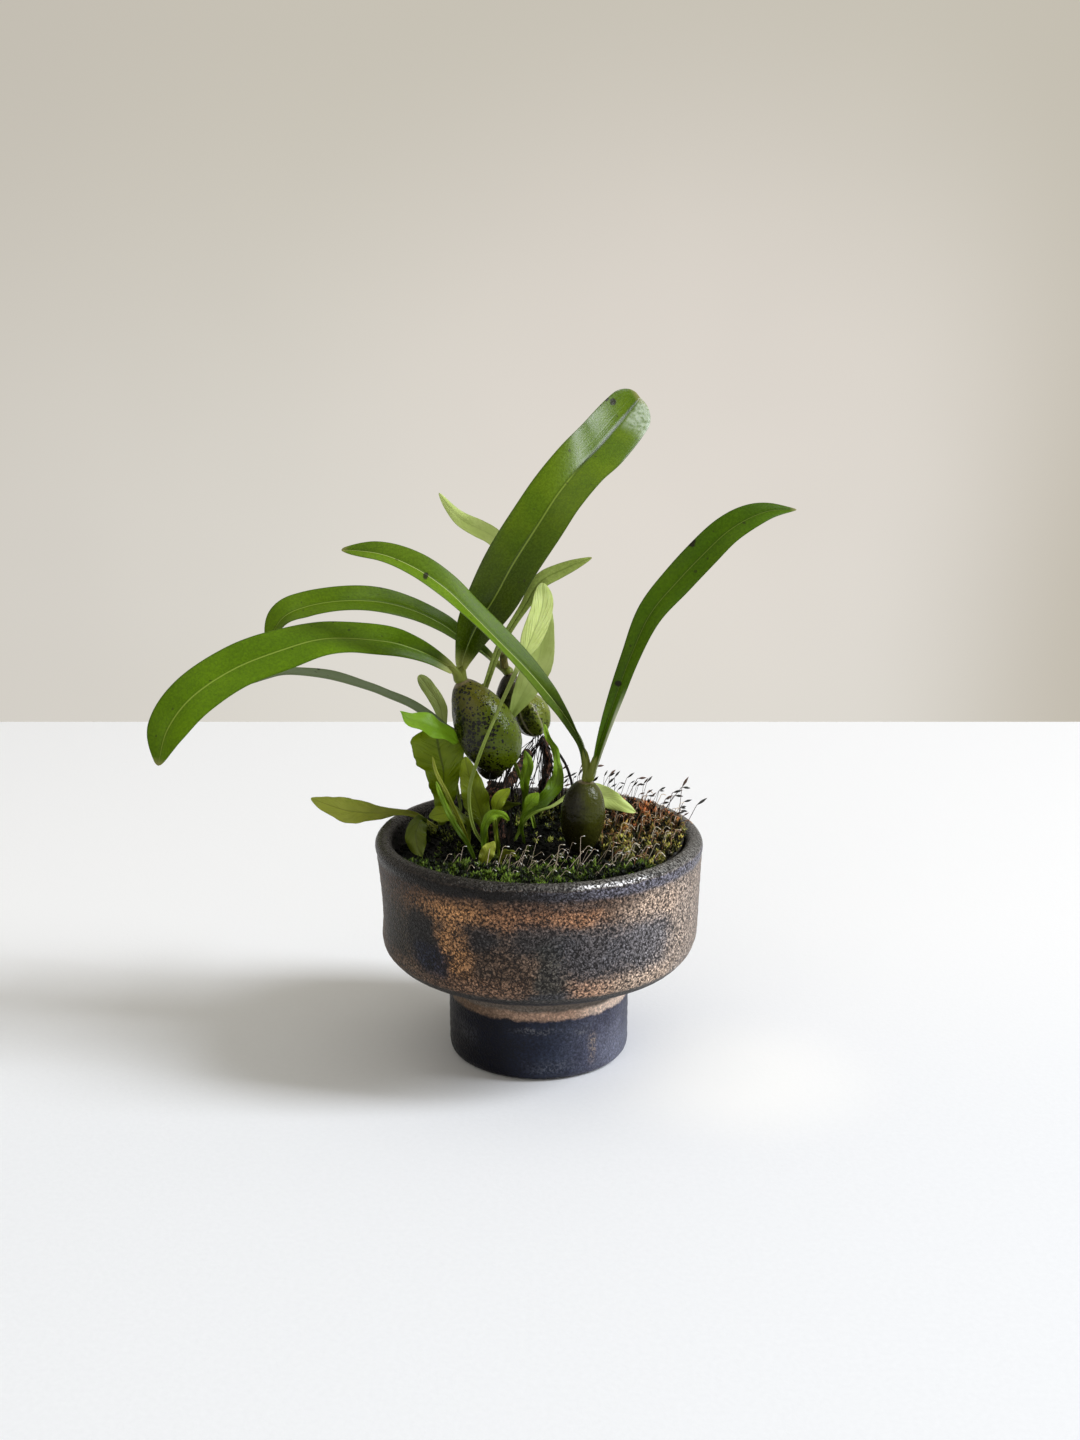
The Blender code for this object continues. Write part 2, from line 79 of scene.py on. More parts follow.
# A hand pressed the left of the wall in: between two heights, beyond a radius, by a depth
PRESSED = (34, 62)
PRESSED_BEYOND = 43
PRESSED_DEPTH = 1.1

# Potting mix, as in the model
GROUND = 57.8
GROUND_TILT = 0.05
GAP = 0.3

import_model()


# ================================================================ node trees

def arithmetic(operation, swapped=False):
    """Method that sets a math node between a value and another value or number."""
    def apply(value, other):
        return value.t.math(operation, *((other, value) if swapped else (value, other)))
    return apply


class Value:
    """An output socket that can stand in plain arithmetic."""

    __add__, __radd__ = arithmetic("ADD"), arithmetic("ADD", True)
    __sub__, __rsub__ = arithmetic("SUBTRACT"), arithmetic("SUBTRACT", True)
    __mul__, __rmul__ = arithmetic("MULTIPLY"), arithmetic("MULTIPLY", True)
    __truediv__, __rtruediv__ = arithmetic("DIVIDE"), arithmetic("DIVIDE", True)
    __pow__ = arithmetic("POWER")

    def __init__(self, t, socket):
        self.t = t
        self.socket = socket

    def __neg__(self):
        return self * -1.0


class Outputs:
    """The outputs of a node as values, by name or number."""

    def __init__(self, t, sockets):
        self.t = t
        self.sockets = sockets

    def __getitem__(self, key):
        return Value(self.t, self.sockets[key])


class Node:
    """A node's input sockets and output values."""

    def __init__(self, t, made):
        self.inputs = made.inputs
        self.outputs = Outputs(t, made.outputs)


class Tree:
    """A node tree with short calls that add a node and return its output value."""

    def __init__(self, tree):
        self.tree = tree

    def node(self, kind, inputs=None, **settings):
        made = self.tree.nodes.new(kind)
        for key, value in settings.items():
            setattr(made, key, value)
        for key, value in (inputs or {}).items():
            self.feed(made.inputs[key], value)
        return Node(self, made)

    def out(self, kind, inputs=None, **settings):
        """First output of a new node."""
        return self.node(kind, inputs, **settings).outputs[0]

    def feed(self, socket, value):
        if isinstance(value, Value):
            self.tree.links.new(value.socket, socket)
        elif isinstance(value, (list, tuple)) and socket.type == "RGBA" and len(value) == 3:
            socket.default_value = (*value, 1.0)
        else:
            socket.default_value = value

    def math(self, operation, *values, clamp=False):
        return self.out("ShaderNodeMath", dict(enumerate(values)), operation=operation, use_clamp=clamp)

    def vector(self, operation, *values):
        made = self.node("ShaderNodeVectorMath", dict(enumerate(values)), operation=operation)
        return made.outputs["Value" if operation in ("DISTANCE", "DOT_PRODUCT") else "Vector"]

    def scaled(self, vector, factor):
        return self.out("ShaderNodeVectorMath", {0: vector, "Scale": factor}, operation="SCALE")

    def combine(self, x, y, z):
        return self.out("ShaderNodeCombineXYZ", {"X": x, "Y": y, "Z": z})

    def separate(self, vector):
        return self.node("ShaderNodeSeparateXYZ", {"Vector": vector}).outputs

    def span(self, value, low, high, to_low=0.0, to_high=1.0, smooth=True):
        """Map a range onto another, clamped, with soft ends if smooth."""
        inputs = {"Value": value, "From Min": low, "From Max": high, "To Min": to_low, "To Max": to_high}
        kind = "SMOOTHSTEP" if smooth else "LINEAR"
        return self.node("ShaderNodeMapRange", inputs, interpolation_type=kind).outputs["Result"]

    def noise(self, vector, scale, detail=3.0, roughness=0.55, distortion=0.0):
        inputs = {"Vector": vector, "Scale": scale, "Detail": detail, "Roughness": roughness,
                  "Distortion": distortion}
        return self.out("ShaderNodeTexNoise", inputs)

    def blend(self, first, second, amount, kind="MIX"):
        """Mix a second colour into the first."""
        inputs = {0: amount, 6: first, 7: second}
        return self.node("ShaderNodeMix", inputs, data_type="RGBA", blend_type=kind).outputs[2]

    def shade(self, colour, tone):
        """Multiply a colour by another, or by one number."""
        if isinstance(tone, Value):
            tone = self.combine(tone, tone, tone)
        return self.blend(colour, tone, 1.0, "MULTIPLY")


TREES = {}


def new_tree(name, kind, inputs, outputs):
    """Tree with named sockets, each a (name, socket type, default); returns its helper and input values."""
    tree = bpy.data.node_groups.new(name, kind)
    for in_out, rows in (("INPUT", inputs), ("OUTPUT", outputs)):
        for socket_name, socket_type, *default in rows:
            socket = tree.interface.new_socket(socket_name, in_out=in_out, socket_type=socket_type)
            if default:
                socket.default_value = default[0]
    TREES[name] = tree
    t = Tree(tree)
    return t, t.node("NodeGroupInput").outputs


def modifier_tree(name, inputs):
    """Empty geometry node tree for a modifier."""
    both = [("Geometry", "NodeSocketGeometry")]
    return new_tree(name, "GeometryNodeTree", both + inputs, both)


def finish_modifier_tree(t, geometry, material):
    """End a tree in Realize Instances and Set Material."""
    real = t.out("GeometryNodeRealizeInstances", {"Geometry": geometry})
    smooth = t.out("GeometryNodeSetShadeSmooth", {"Geometry": real})
    painted = t.out("GeometryNodeSetMaterial", {"Geometry": smooth, "Material": material})
    t.node("NodeGroupOutput", {"Geometry": painted})


FLOAT = "NodeSocketFloat"
INT = "NodeSocketInt"
VECTOR = "NodeSocketVector"
MATERIAL = "NodeSocketMaterial"
COLLECTION = "NodeSocketCollection"


def named(t, name, data_type="FLOAT"):
    made = t.node("GeometryNodeInputNamedAttribute", {"Name": name}, data_type=data_type)
    return made.outputs["Attribute"]


def store(t, geometry, name, value, data_type="FLOAT", domain="POINT"):
    made = t.node("GeometryNodeStoreNamedAttribute", {"Geometry": geometry, "Name": name},
                  data_type=data_type, domain=domain)
    t.feed(made.inputs["Value"], value)
    return made.outputs["Geometry"]


def along(t, curve, factor, value, data_type):
    """Value of an attribute, and the position, at a factor along a curve."""
    made = t.node("GeometryNodeSampleCurve", {"Curves": curve, "Factor": factor},
                  data_type=data_type, mode="FACTOR")
    t.feed(made.inputs["Value"], value)
    return made.outputs["Value"], made.outputs["Position"]


def grid_of(t, columns, rows):
    """Flat grid mesh, and how far its points lie across and along it, from 0 to 1."""
    grid = t.out("GeometryNodeMeshGrid", {
        "Size X": 1.0, "Size Y": 1.0, "Vertices X": columns + 1.0, "Vertices Y": rows + 1.0})
    spot = t.separate(t.out("GeometryNodeInputPosition"))
    return grid, spot["X"] + 0.5, spot["Y"] + 0.5


def closed_skin(t, grid, across, along_it, target, merged_within):
    """The grid at its target, with a map of its surface, and its seam and ends merged."""
    mapped = store(t, grid, "UVMap", t.combine(across, along_it, 0.0), "FLOAT2", "CORNER")
    moved = t.out("GeometryNodeSetPosition", {"Geometry": mapped, "Position": target})
    return t.out("GeometryNodeMergeByDistance", {"Geometry": moved, "Distance": merged_within})


def turned_tree():
    """Ware thrown on a wheel, or a bulb: a profile in XZ, turned about Z into a closed skin."""
    t, given = modifier_tree("turned", [
        ("Segments", INT), ("Rows", INT), ("Wobble", FLOAT, 0.0), ("Wobble Scale", FLOAT, 20.0),
        ("Ring Height", FLOAT, 0.0), ("Ring Pitch", FLOAT, 0.004), ("Rib Count", FLOAT, 0.0),
        ("Rib Depth", FLOAT, 0.0), ("Wrinkle", FLOAT, 0.0), ("Wrinkle Scale", FLOAT, 300.0),
        ("Seed", FLOAT, 0.0), ("Material", MATERIAL)])
    curve = t.out("GeometryNodeMeshToCurve", {"Mesh": given["Geometry"]})
    grid, around, factor = grid_of(t, given["Segments"], given["Rows"])
    turn = around * math.tau
    _, point = along(t, curve, factor, 0.0, "FLOAT")
    spot = t.separate(point)
    # throwing rings fade out at the axis
    ring = t.math("SINE", spot["Z"] * math.tau / given["Ring Pitch"])
    radius = ring * (given["Ring Height"] * t.span(spot["X"], 0.0, 0.005)) + spot["X"]
    rib = t.math("SINE", turn * given["Rib Count"])
    radius = radius * (rib * given["Rib Depth"] + 1.0)
    target = t.combine(radius * t.math("COSINE", turn), radius * t.math("SINE", turn), spot["Z"])
    skin = closed_skin(t, grid, around, factor, target, 1e-6)
    shifted = t.vector("ADD", t.out("GeometryNodeInputPosition"), t.combine(given["Seed"], 0.0, 0.0))
    swell = t.noise(shifted, given["Wobble Scale"], 1.0) - 0.5
    crease = t.noise(shifted, given["Wrinkle Scale"], 3.0, 0.6) - 0.5
    push = swell * given["Wobble"] + crease * given["Wrinkle"]
    offset = t.scaled(t.out("GeometryNodeInputNormal"), push)
    moved = t.out("GeometryNodeSetPosition", {"Geometry": skin, "Offset": offset})
    finish_modifier_tree(t, moved, given["Material"])


def rounded(t, distance, reach):
    """0 to 1 as a quarter circle over a reach."""
    left = 1.0 - t.math("DIVIDE", distance, reach, clamp=True)
    return t.math("SQRT", 1.0 - left * left)


def blade_outline(t, given, half, factor, across, length):
    """Half width of a blade, each margin lobed by itself, and its cap: 0 at both ends, 1 between."""
    base_length = 0.001
    cap = rounded(t, (1.0 - factor) * length, given["Tip Length"]) * rounded(t, factor * length, base_length)
    margin = t.math("SIGN", across) * 3.7
    lobe = t.noise(t.combine(factor * 9.0, margin, given["Seed"]), 1.0, 2.0) - 0.5
    return half * cap * (lobe * given["Lobing"] + 1.0), cap


def blade_relief(t, given, factor, across, height, under, cap):
    """Rise of the skin: its thickness, a groove above the midrib, a keel below it, ripples at the margins."""
    rib_width = 0.13
    rib = t.math("EXPONENT", -(across / rib_width) ** 2.0)
    depth = given["Groove"] + under * (given["Keel"] - given["Groove"])
    skin = given["Thickness"] * height - depth * rib
    out_of_step = given["Seed"] + t.math("SIGN", across) * 0.8
    wave = t.math("SINE", factor * given["Ripple Count"] * math.tau + out_of_step)
    return (skin + wave * given["Ripple"] * (across * across)) * cap


def blade_tree():
    """Leaf or frond: a closed skin wrapped round a route that carries its half width and directions."""
    t, given = modifier_tree("blade", [
        ("Fold", FLOAT), ("Stalk Fold", FLOAT, 0.0), ("Tip Length", FLOAT), ("Thickness", FLOAT),
        ("Groove", FLOAT), ("Keel", FLOAT), ("Ripple", FLOAT), ("Ripple Count", FLOAT), ("Lobing", FLOAT),
        ("Seed", FLOAT), ("Around", INT), ("Rows", INT), ("Material", MATERIAL)])
    curve = t.out("GeometryNodeMeshToCurve", {"Mesh": given["Geometry"]})
    length = t.out("GeometryNodeCurveLength", {"Curve": curve})
    grid, around, even = grid_of(t, given["Around"], given["Rows"])
    # rows crowd towards both ends, where the outline is rounded
    crowding = 0.1
    factor = even - t.math("SINE", even * math.tau) * crowding
    across = t.math("COSINE", around * math.tau)
    height = t.math("SINE", around * math.tau)
    half, mid = along(t, curve, factor, named(t, "half"), "FLOAT")
    face, _ = along(t, curve, factor, named(t, "face", "FLOAT_VECTOR"), "FLOAT_VECTOR")
    side, _ = along(t, curve, factor, named(t, "side", "FLOAT_VECTOR"), "FLOAT_VECTOR")
    wide, cap = blade_outline(t, given, half, factor, across, length)

    # soft fold along the midrib, deeper towards the stalk
    fold = given["Fold"] + given["Stalk Fold"] * t.span(factor, 0.3, 0.02)
    softness, soft_depth = 0.006, 0.0775
    bent = t.math("SQRT", across * across + softness) - soft_depth
    lift = wide * bent * t.math("SINE", fold)
    under = t.math("LESS_THAN", height, 0.0)
    rise = lift + blade_relief(t, given, factor, across, height, under, cap)
    sideways = t.scaled(side, wide * across * t.math("COSINE", fold))
    target = t.vector("ADD", t.vector("ADD", mid, sideways), t.scaled(face, rise))
    marked = store(t, grid, "underside", under)
    skin = closed_skin(t, marked, across * 0.5 + 0.5, factor, target, 2e-6)
    finish_modifier_tree(t, skin, given["Material"])


def scatter_tree():
    """Pieces from a collection set on the upward faces of a mesh, each with its own tint."""
    t, given = modifier_tree("scatter", [
        ("Spacing", FLOAT), ("Density", FLOAT), ("Patchiness", FLOAT, 0.0), ("Patch Scale", FLOAT, 60.0),
        ("Smallest", FLOAT), ("Largest", FLOAT), ("Tilt", FLOAT), ("Turn", FLOAT, math.pi), ("Sink", FLOAT),
        ("Seed", INT), ("Keep Ground", FLOAT, 1.0), ("Pieces", COLLECTION), ("Material", MATERIAL)])

    def chance(low, high, seed):
        return t.node("FunctionNodeRandomValue", {2: low, 3: high, "Seed": seed}).outputs[1]

    steepest = 0.45
    upward = t.math("GREATER_THAN", t.separate(t.out("GeometryNodeInputNormal"))["Z"], steepest)
    patch = t.noise(t.out("GeometryNodeInputPosition"), given["Patch Scale"], 2.0)
    fade = t.span(patch, given["Patchiness"] * 0.5 + 0.05, 0.62)
    factor = fade * given["Patchiness"] + (1.0 - given["Patchiness"])
    points = t.out("GeometryNodeDistributePointsOnFaces", {
        "Mesh": given["Geometry"], "Selection": upward, "Distance Min": given["Spacing"],
        "Density Max": given["Density"], "Density Factor": factor, "Seed": given["Seed"],
        }, distribute_method="POISSON")
    pieces = t.out("GeometryNodeCollectionInfo", {
        "Collection": given["Pieces"], "Separate Children": True, "Reset Children": True})
    tilt, turn = given["Tilt"], given["Turn"]
    size = chance(given["Smallest"], given["Largest"], 11)
    placed = t.out("GeometryNodeInstanceOnPoints", {
        "Points": points, "Instance": pieces, "Pick Instance": True,
        "Rotation": t.combine(chance(-tilt, tilt, 3), chance(-tilt, tilt, 5), chance(-turn, turn, 7)),
        "Scale": t.combine(size, size, size)})
    sunk = t.out("GeometryNodeTranslateInstances", {
        "Instances": placed, "Translation": t.combine(0.0, 0.0, given["Sink"]), "Local Space": True})
    tinted = store(t, sunk, "tint", chance(0.0, 1.0, 13), domain="INSTANCE")
    keep = t.math("GREATER_THAN", given["Keep Ground"], 0.5)
    ground = t.out("GeometryNodeSwitch", {"Switch": keep, "True": given["Geometry"]}, input_type="GEOMETRY")
    both = t.node("GeometryNodeJoinGeometry")
    t.feed(both.inputs[0], ground)
    t.feed(both.inputs[0], tinted)
    finish_modifier_tree(t, both.outputs[0], given["Material"])


def grown(obj, tree, **values):
    """Run a tree on an object and leave the result as its plain mesh."""
    modifier = obj.modifiers.new("grow", "NODES")
    modifier.node_group = TREES[tree]
    for item in TREES[tree].interface.items_tree:
        key = item.name.replace(" ", "_")
        if item.in_out == "INPUT" and key in values:
            modifier[item.identifier] = values[key]
    obj.update_tag()
    bpy.context.view_layer.update()
    ready = obj.evaluated_get(bpy.context.evaluated_depsgraph_get())
    mesh = bpy.data.meshes.new_from_object(ready)
    old = obj.data
    obj.modifiers.clear()
    obj.data = mesh
    bpy.data.meshes.remove(old)
    mesh.name = obj.name
    return obj


# ================================================================ mesh helpers

def new_object(name, mesh):
    obj = bpy.data.objects.new(name, mesh)
    bpy.context.scene.collection.objects.link(obj)
    return obj


def mesh_from(bm, name):
    mesh = bpy.data.meshes.new(name)
    bm.to_mesh(mesh)
    bm.free()
    return mesh


def outward(obj):
    """Point all faces outwards and shade them smooth."""
    bm = bmesh.new()
    bm.from_mesh(obj.data)
    bmesh.ops.recalc_face_normals(bm, faces=bm.faces)
    bm.to_mesh(obj.data)
    bm.free()
    obj.data.shade_smooth()
    return obj


def line_mesh(points, name, attributes=None):
    """Mesh of one open chain of points, with attributes on its points."""
    mesh = bpy.data.meshes.new(name)
    mesh.from_pydata(points, [(i, i + 1) for i in range(len(points) - 1)], [])
    for key, values in (attributes or {}).items():
        kind = "FLOAT" if isinstance(values[0], float) else "FLOAT_VECTOR"
        layer = mesh.attributes.new(key, kind, "POINT")
        flat = values if kind == "FLOAT" else [c for v in values for c in v]
        layer.data.foreach_set("value" if kind == "FLOAT" else "vector", flat)
    return mesh


def curve_through(rows):
    """Catmull-Rom curve through the rows; every column is interpolated alike."""
    fineness = 16
    first = [2 * a - b for a, b in zip(rows[0], rows[1])]
    last = [2 * a - b for a, b in zip(rows[-1], rows[-2])]
    padded = [first, *rows, last]
    points = []
    for i in range(len(rows) - 1):
        for step in range(fineness):
            t = step / fineness
            points.append([0.5 * (2 * b + (c - a) * t + (2 * a - 5 * b + 4 * c - d) * t * t
                                  + (3 * b - a - 3 * c + d) * t ** 3)
                           for a, b, c, d in zip(*padded[i:i + 4])])
    points.append(list(rows[-1]))
    return points


def arc(centre, radius, start, end, count):
    """Points of an arc in the (r, z) plane, angles in degrees."""
    angles = [math.radians(start + (end - start) * i / count) for i in range(count + 1)]
    return [(centre[0] + radius * math.cos(a), centre[1] + radius * math.sin(a)) for a in angles]


def quadratic(start, handle, end, count):
    """Points of a quadratic curve, without its first point."""
    steps = [i / count for i in range(1, count + 1)]
    return [tuple((1 - t) ** 2 * a + 2 * t * (1 - t) * h + t * t * b
                  for a, h, b in zip(start, handle, end)) for t in steps]


def tube(bm, points, radii, sides, seed=0.0, rough=0.0):
    """Closed tube through the points with a radius at each, in metres."""
    rings = []
    normal = Vector((0.3, 0.8, 0.2))
    for i, (point, radius) in enumerate(zip(points, radii)):
        ahead = (points[min(i + 1, len(points) - 1)] - points[max(i - 1, 0)]).normalized()
        normal = (normal - ahead * ahead.dot(normal)).normalized()
        other = ahead.cross(normal)
        ring = []
        for k in range(sides):
            turn = math.tau * k / sides
            direction = normal * math.cos(turn) + other * math.sin(turn)
            push = radius
            if rough:
                spot = (point + direction * radius) * 700 + Vector((seed, seed, 0))
                push *= 1 + rough * noise.noise(spot)
            ring.append(bm.verts.new(point + direction * push))
        rings.append(ring)
    for a, b in zip(rings, rings[1:]):
        for k in range(sides):
            bm.faces.new((a[k], a[(k + 1) % sides], b[(k + 1) % sides], b[k]))
    bm.faces.new(list(reversed(rings[0])))
    bm.faces.new(rings[-1])


# ================================================================ the plant's layout

BULBS = {
    "bulb_left": dict(
        finish="bulb_dotted", top=(-21.8, 4, 107.5), bottom=(-8.8, 3, 82), radius=8.3, egg=0.24),
    "bulb_right": dict(
        finish="bulb_plain", top=(13, -4, 81), bottom=(11.5, -4, 59.6), radius=6.2, egg=-0.06),
    "bulb_back_dark": dict(
        finish="bulb_dark", top=(-7.8, 22, 105.5), bottom=(-9.5, 22, 92), radius=3.7, egg=0.1),
    "bulb_back_old": dict(
        finish="bulb_old", top=(-5, 29, 97), bottom=(0.5, 29, 85), radius=5.6, egg=0.0, ribs=7),
    "bulb_hidden_upper": dict(
        finish="bulb_dark", top=(-16, 17, 101), bottom=(-18, 18, 88), radius=4.5, egg=0.2),
    "bulb_hidden_lower": dict(
        finish="bulb_dark", top=(-17, 20, 86), bottom=(-12, 17, 75), radius=4.2, egg=0.2),
}

# Leaves and fronds: a route of (x, y, z, half width, roll in degrees), the fold along the midrib in
# degrees, the length of the rounded tip, the height of the ripples in metres, and how lobed it is.
LEAVES = {
    "leaf_upright": dict(finish="leaf_broad", ripple=0.0003, fold=18, tip=7, route=[
        (-21.5, 4, 110, 1.5, 0), (-20.5, 4, 114.5, 3.7, 0), (-17.3, 4, 122, 6.4, -8),
        (-12, 4, 130.5, 7.7, -17), (-7, 5, 139.5, 8.1, -20), (0, 8.5, 150, 8.2, -21),
        (5.2, 13, 157.5, 8.1, -19), (11.5, 19.5, 164.5, 8, -15), (17.8, 28, 170, 8.1, -8),
        (23.5, 35.5, 176, 7.8, 2), (29, 41.5, 182, 6.5, 10)]),
    "leaf_left_long": dict(finish="leaf_long", ripple=0.0003, fold=6, tip=9, route=[
        (-23.2, 2, 110.3, 1.2, 0), (-25, 1.6, 112, 2, 5), (-30, 1, 115, 2.9, 20),
        (-35, -1, 117.5, 3.8, 35), (-41, -3, 119.5, 4.8, 47), (-51, -7, 121.3, 5.7, 56),
        (-58.5, -11, 121.8, 6.4, 54), (-66, -15, 120.5, 6.8, 47), (-79, -21, 116.5, 6.8, 39),
        (-89.5, -28, 110.5, 6.9, 34), (-95.5, -33, 103, 6, 30), (-98, -36, 94, 3, 28)]),
    "leaf_left_upper": dict(finish="leaf_arching", ripple=0.0002, fold=18, tip=8, route=[
        (-12, 25, 107, 1.5, 50), (-17, 24, 111.5, 2.3, 50), (-23, 22, 116, 2.9, 50),
        (-28, 20, 120, 3.5, 50), (-36, 17, 124.5, 4.1, 50), (-45, 14, 127.3, 4.6, 51),
        (-55, 10, 128.3, 4.9, 52), (-64, 7, 127.3, 5, 52), (-70, 3, 125, 4.7, 48),
        (-74, -1, 119, 3, 45)]),
    "leaf_left_lower": dict(finish="leaf_dull", ripple=0.0002, fold=10, tip=8, route=[
        (-19, 20, 86, 1.5, 95), (-25.5, 19, 88.5, 2.8, 104), (-31.5, 20, 92.7, 3.8, 110),
        (-37, 21, 96.1, 4.6, 113), (-43, 22, 98.5, 5.1, 114), (-49, 24, 100.4, 5.4, 114),
        (-61, 28, 102.8, 5.4, 114), (-73, 32, 103.2, 5, 112), (-80, 34, 101.5, 4.1, 108),
        (-87, 36, 98.5, 2, 106)]),
    "leaf_crossing": dict(finish="leaf_crossing", ripple=0.0002, fold=22, tip=9, route=[
        (13, -3.2, 82, 1.2, 0), (12.3, -4.2, 90, 1.4, -30), (9.5, -5, 96, 1.6, -25),
        (5.5, -6, 102, 2, 10), (1.5, -6.5, 107, 3.2, 45), (-3.5, -7.5, 113, 4.2, 60),
        (-10.5, -8.5, 120.5, 4.8, 64), (-18.5, -9.5, 129, 5, 62), (-25, -10, 135.5, 4.9, 56),
        (-33, -10, 141, 4.8, 55), (-42, -9, 144.5, 4, 54), (-52.5, -7, 145.5, 2, 48)]),
    "leaf_right": dict(finish="leaf_right", ripple=0.0003, fold=18, tip=12, route=[
        (14.6, -5.6, 82.2, 0.9, 0), (17.2, -5.4, 92.5, 1.8, -5), (20.8, -5, 104, 2.3, -10),
        (25, -5, 116, 2.8, -16), (30.3, -3.5, 127.5, 3.8, -22), (38, -1, 136.3, 4.6, -25),
        (45.2, 1, 143.5, 4.8, -28), (51, 3, 148.6, 4.5, -32), (57, 5, 152, 4, -38),
        (63, 7, 153.8, 2.9, -44), (70.5, 9, 154, 1.5, -50)]),
    "leaf_small_back": dict(finish="leaf_sunlit", ripple=0.0001, fold=10, tip=7, route=[
        (-15.5, 14, 102, 1.1, 0), (-11.5, 14, 113.5, 1.1, 0), (-8, 14, 120, 1.1, 0),
        (-4, 15, 126, 1.4, -15), (0.3, 16, 132.5, 2.4, -30), (6, 18, 135.5, 2.2, -30),
        (15, 20, 139, 1, -30)]),
}

LEAF_BUILD = dict(Thickness=0.00042, Groove=0.00022, Keel=0.0004, Around=56, Rows=120, Stalk_Fold=0.5,
                  Ripple_Count=3.0)

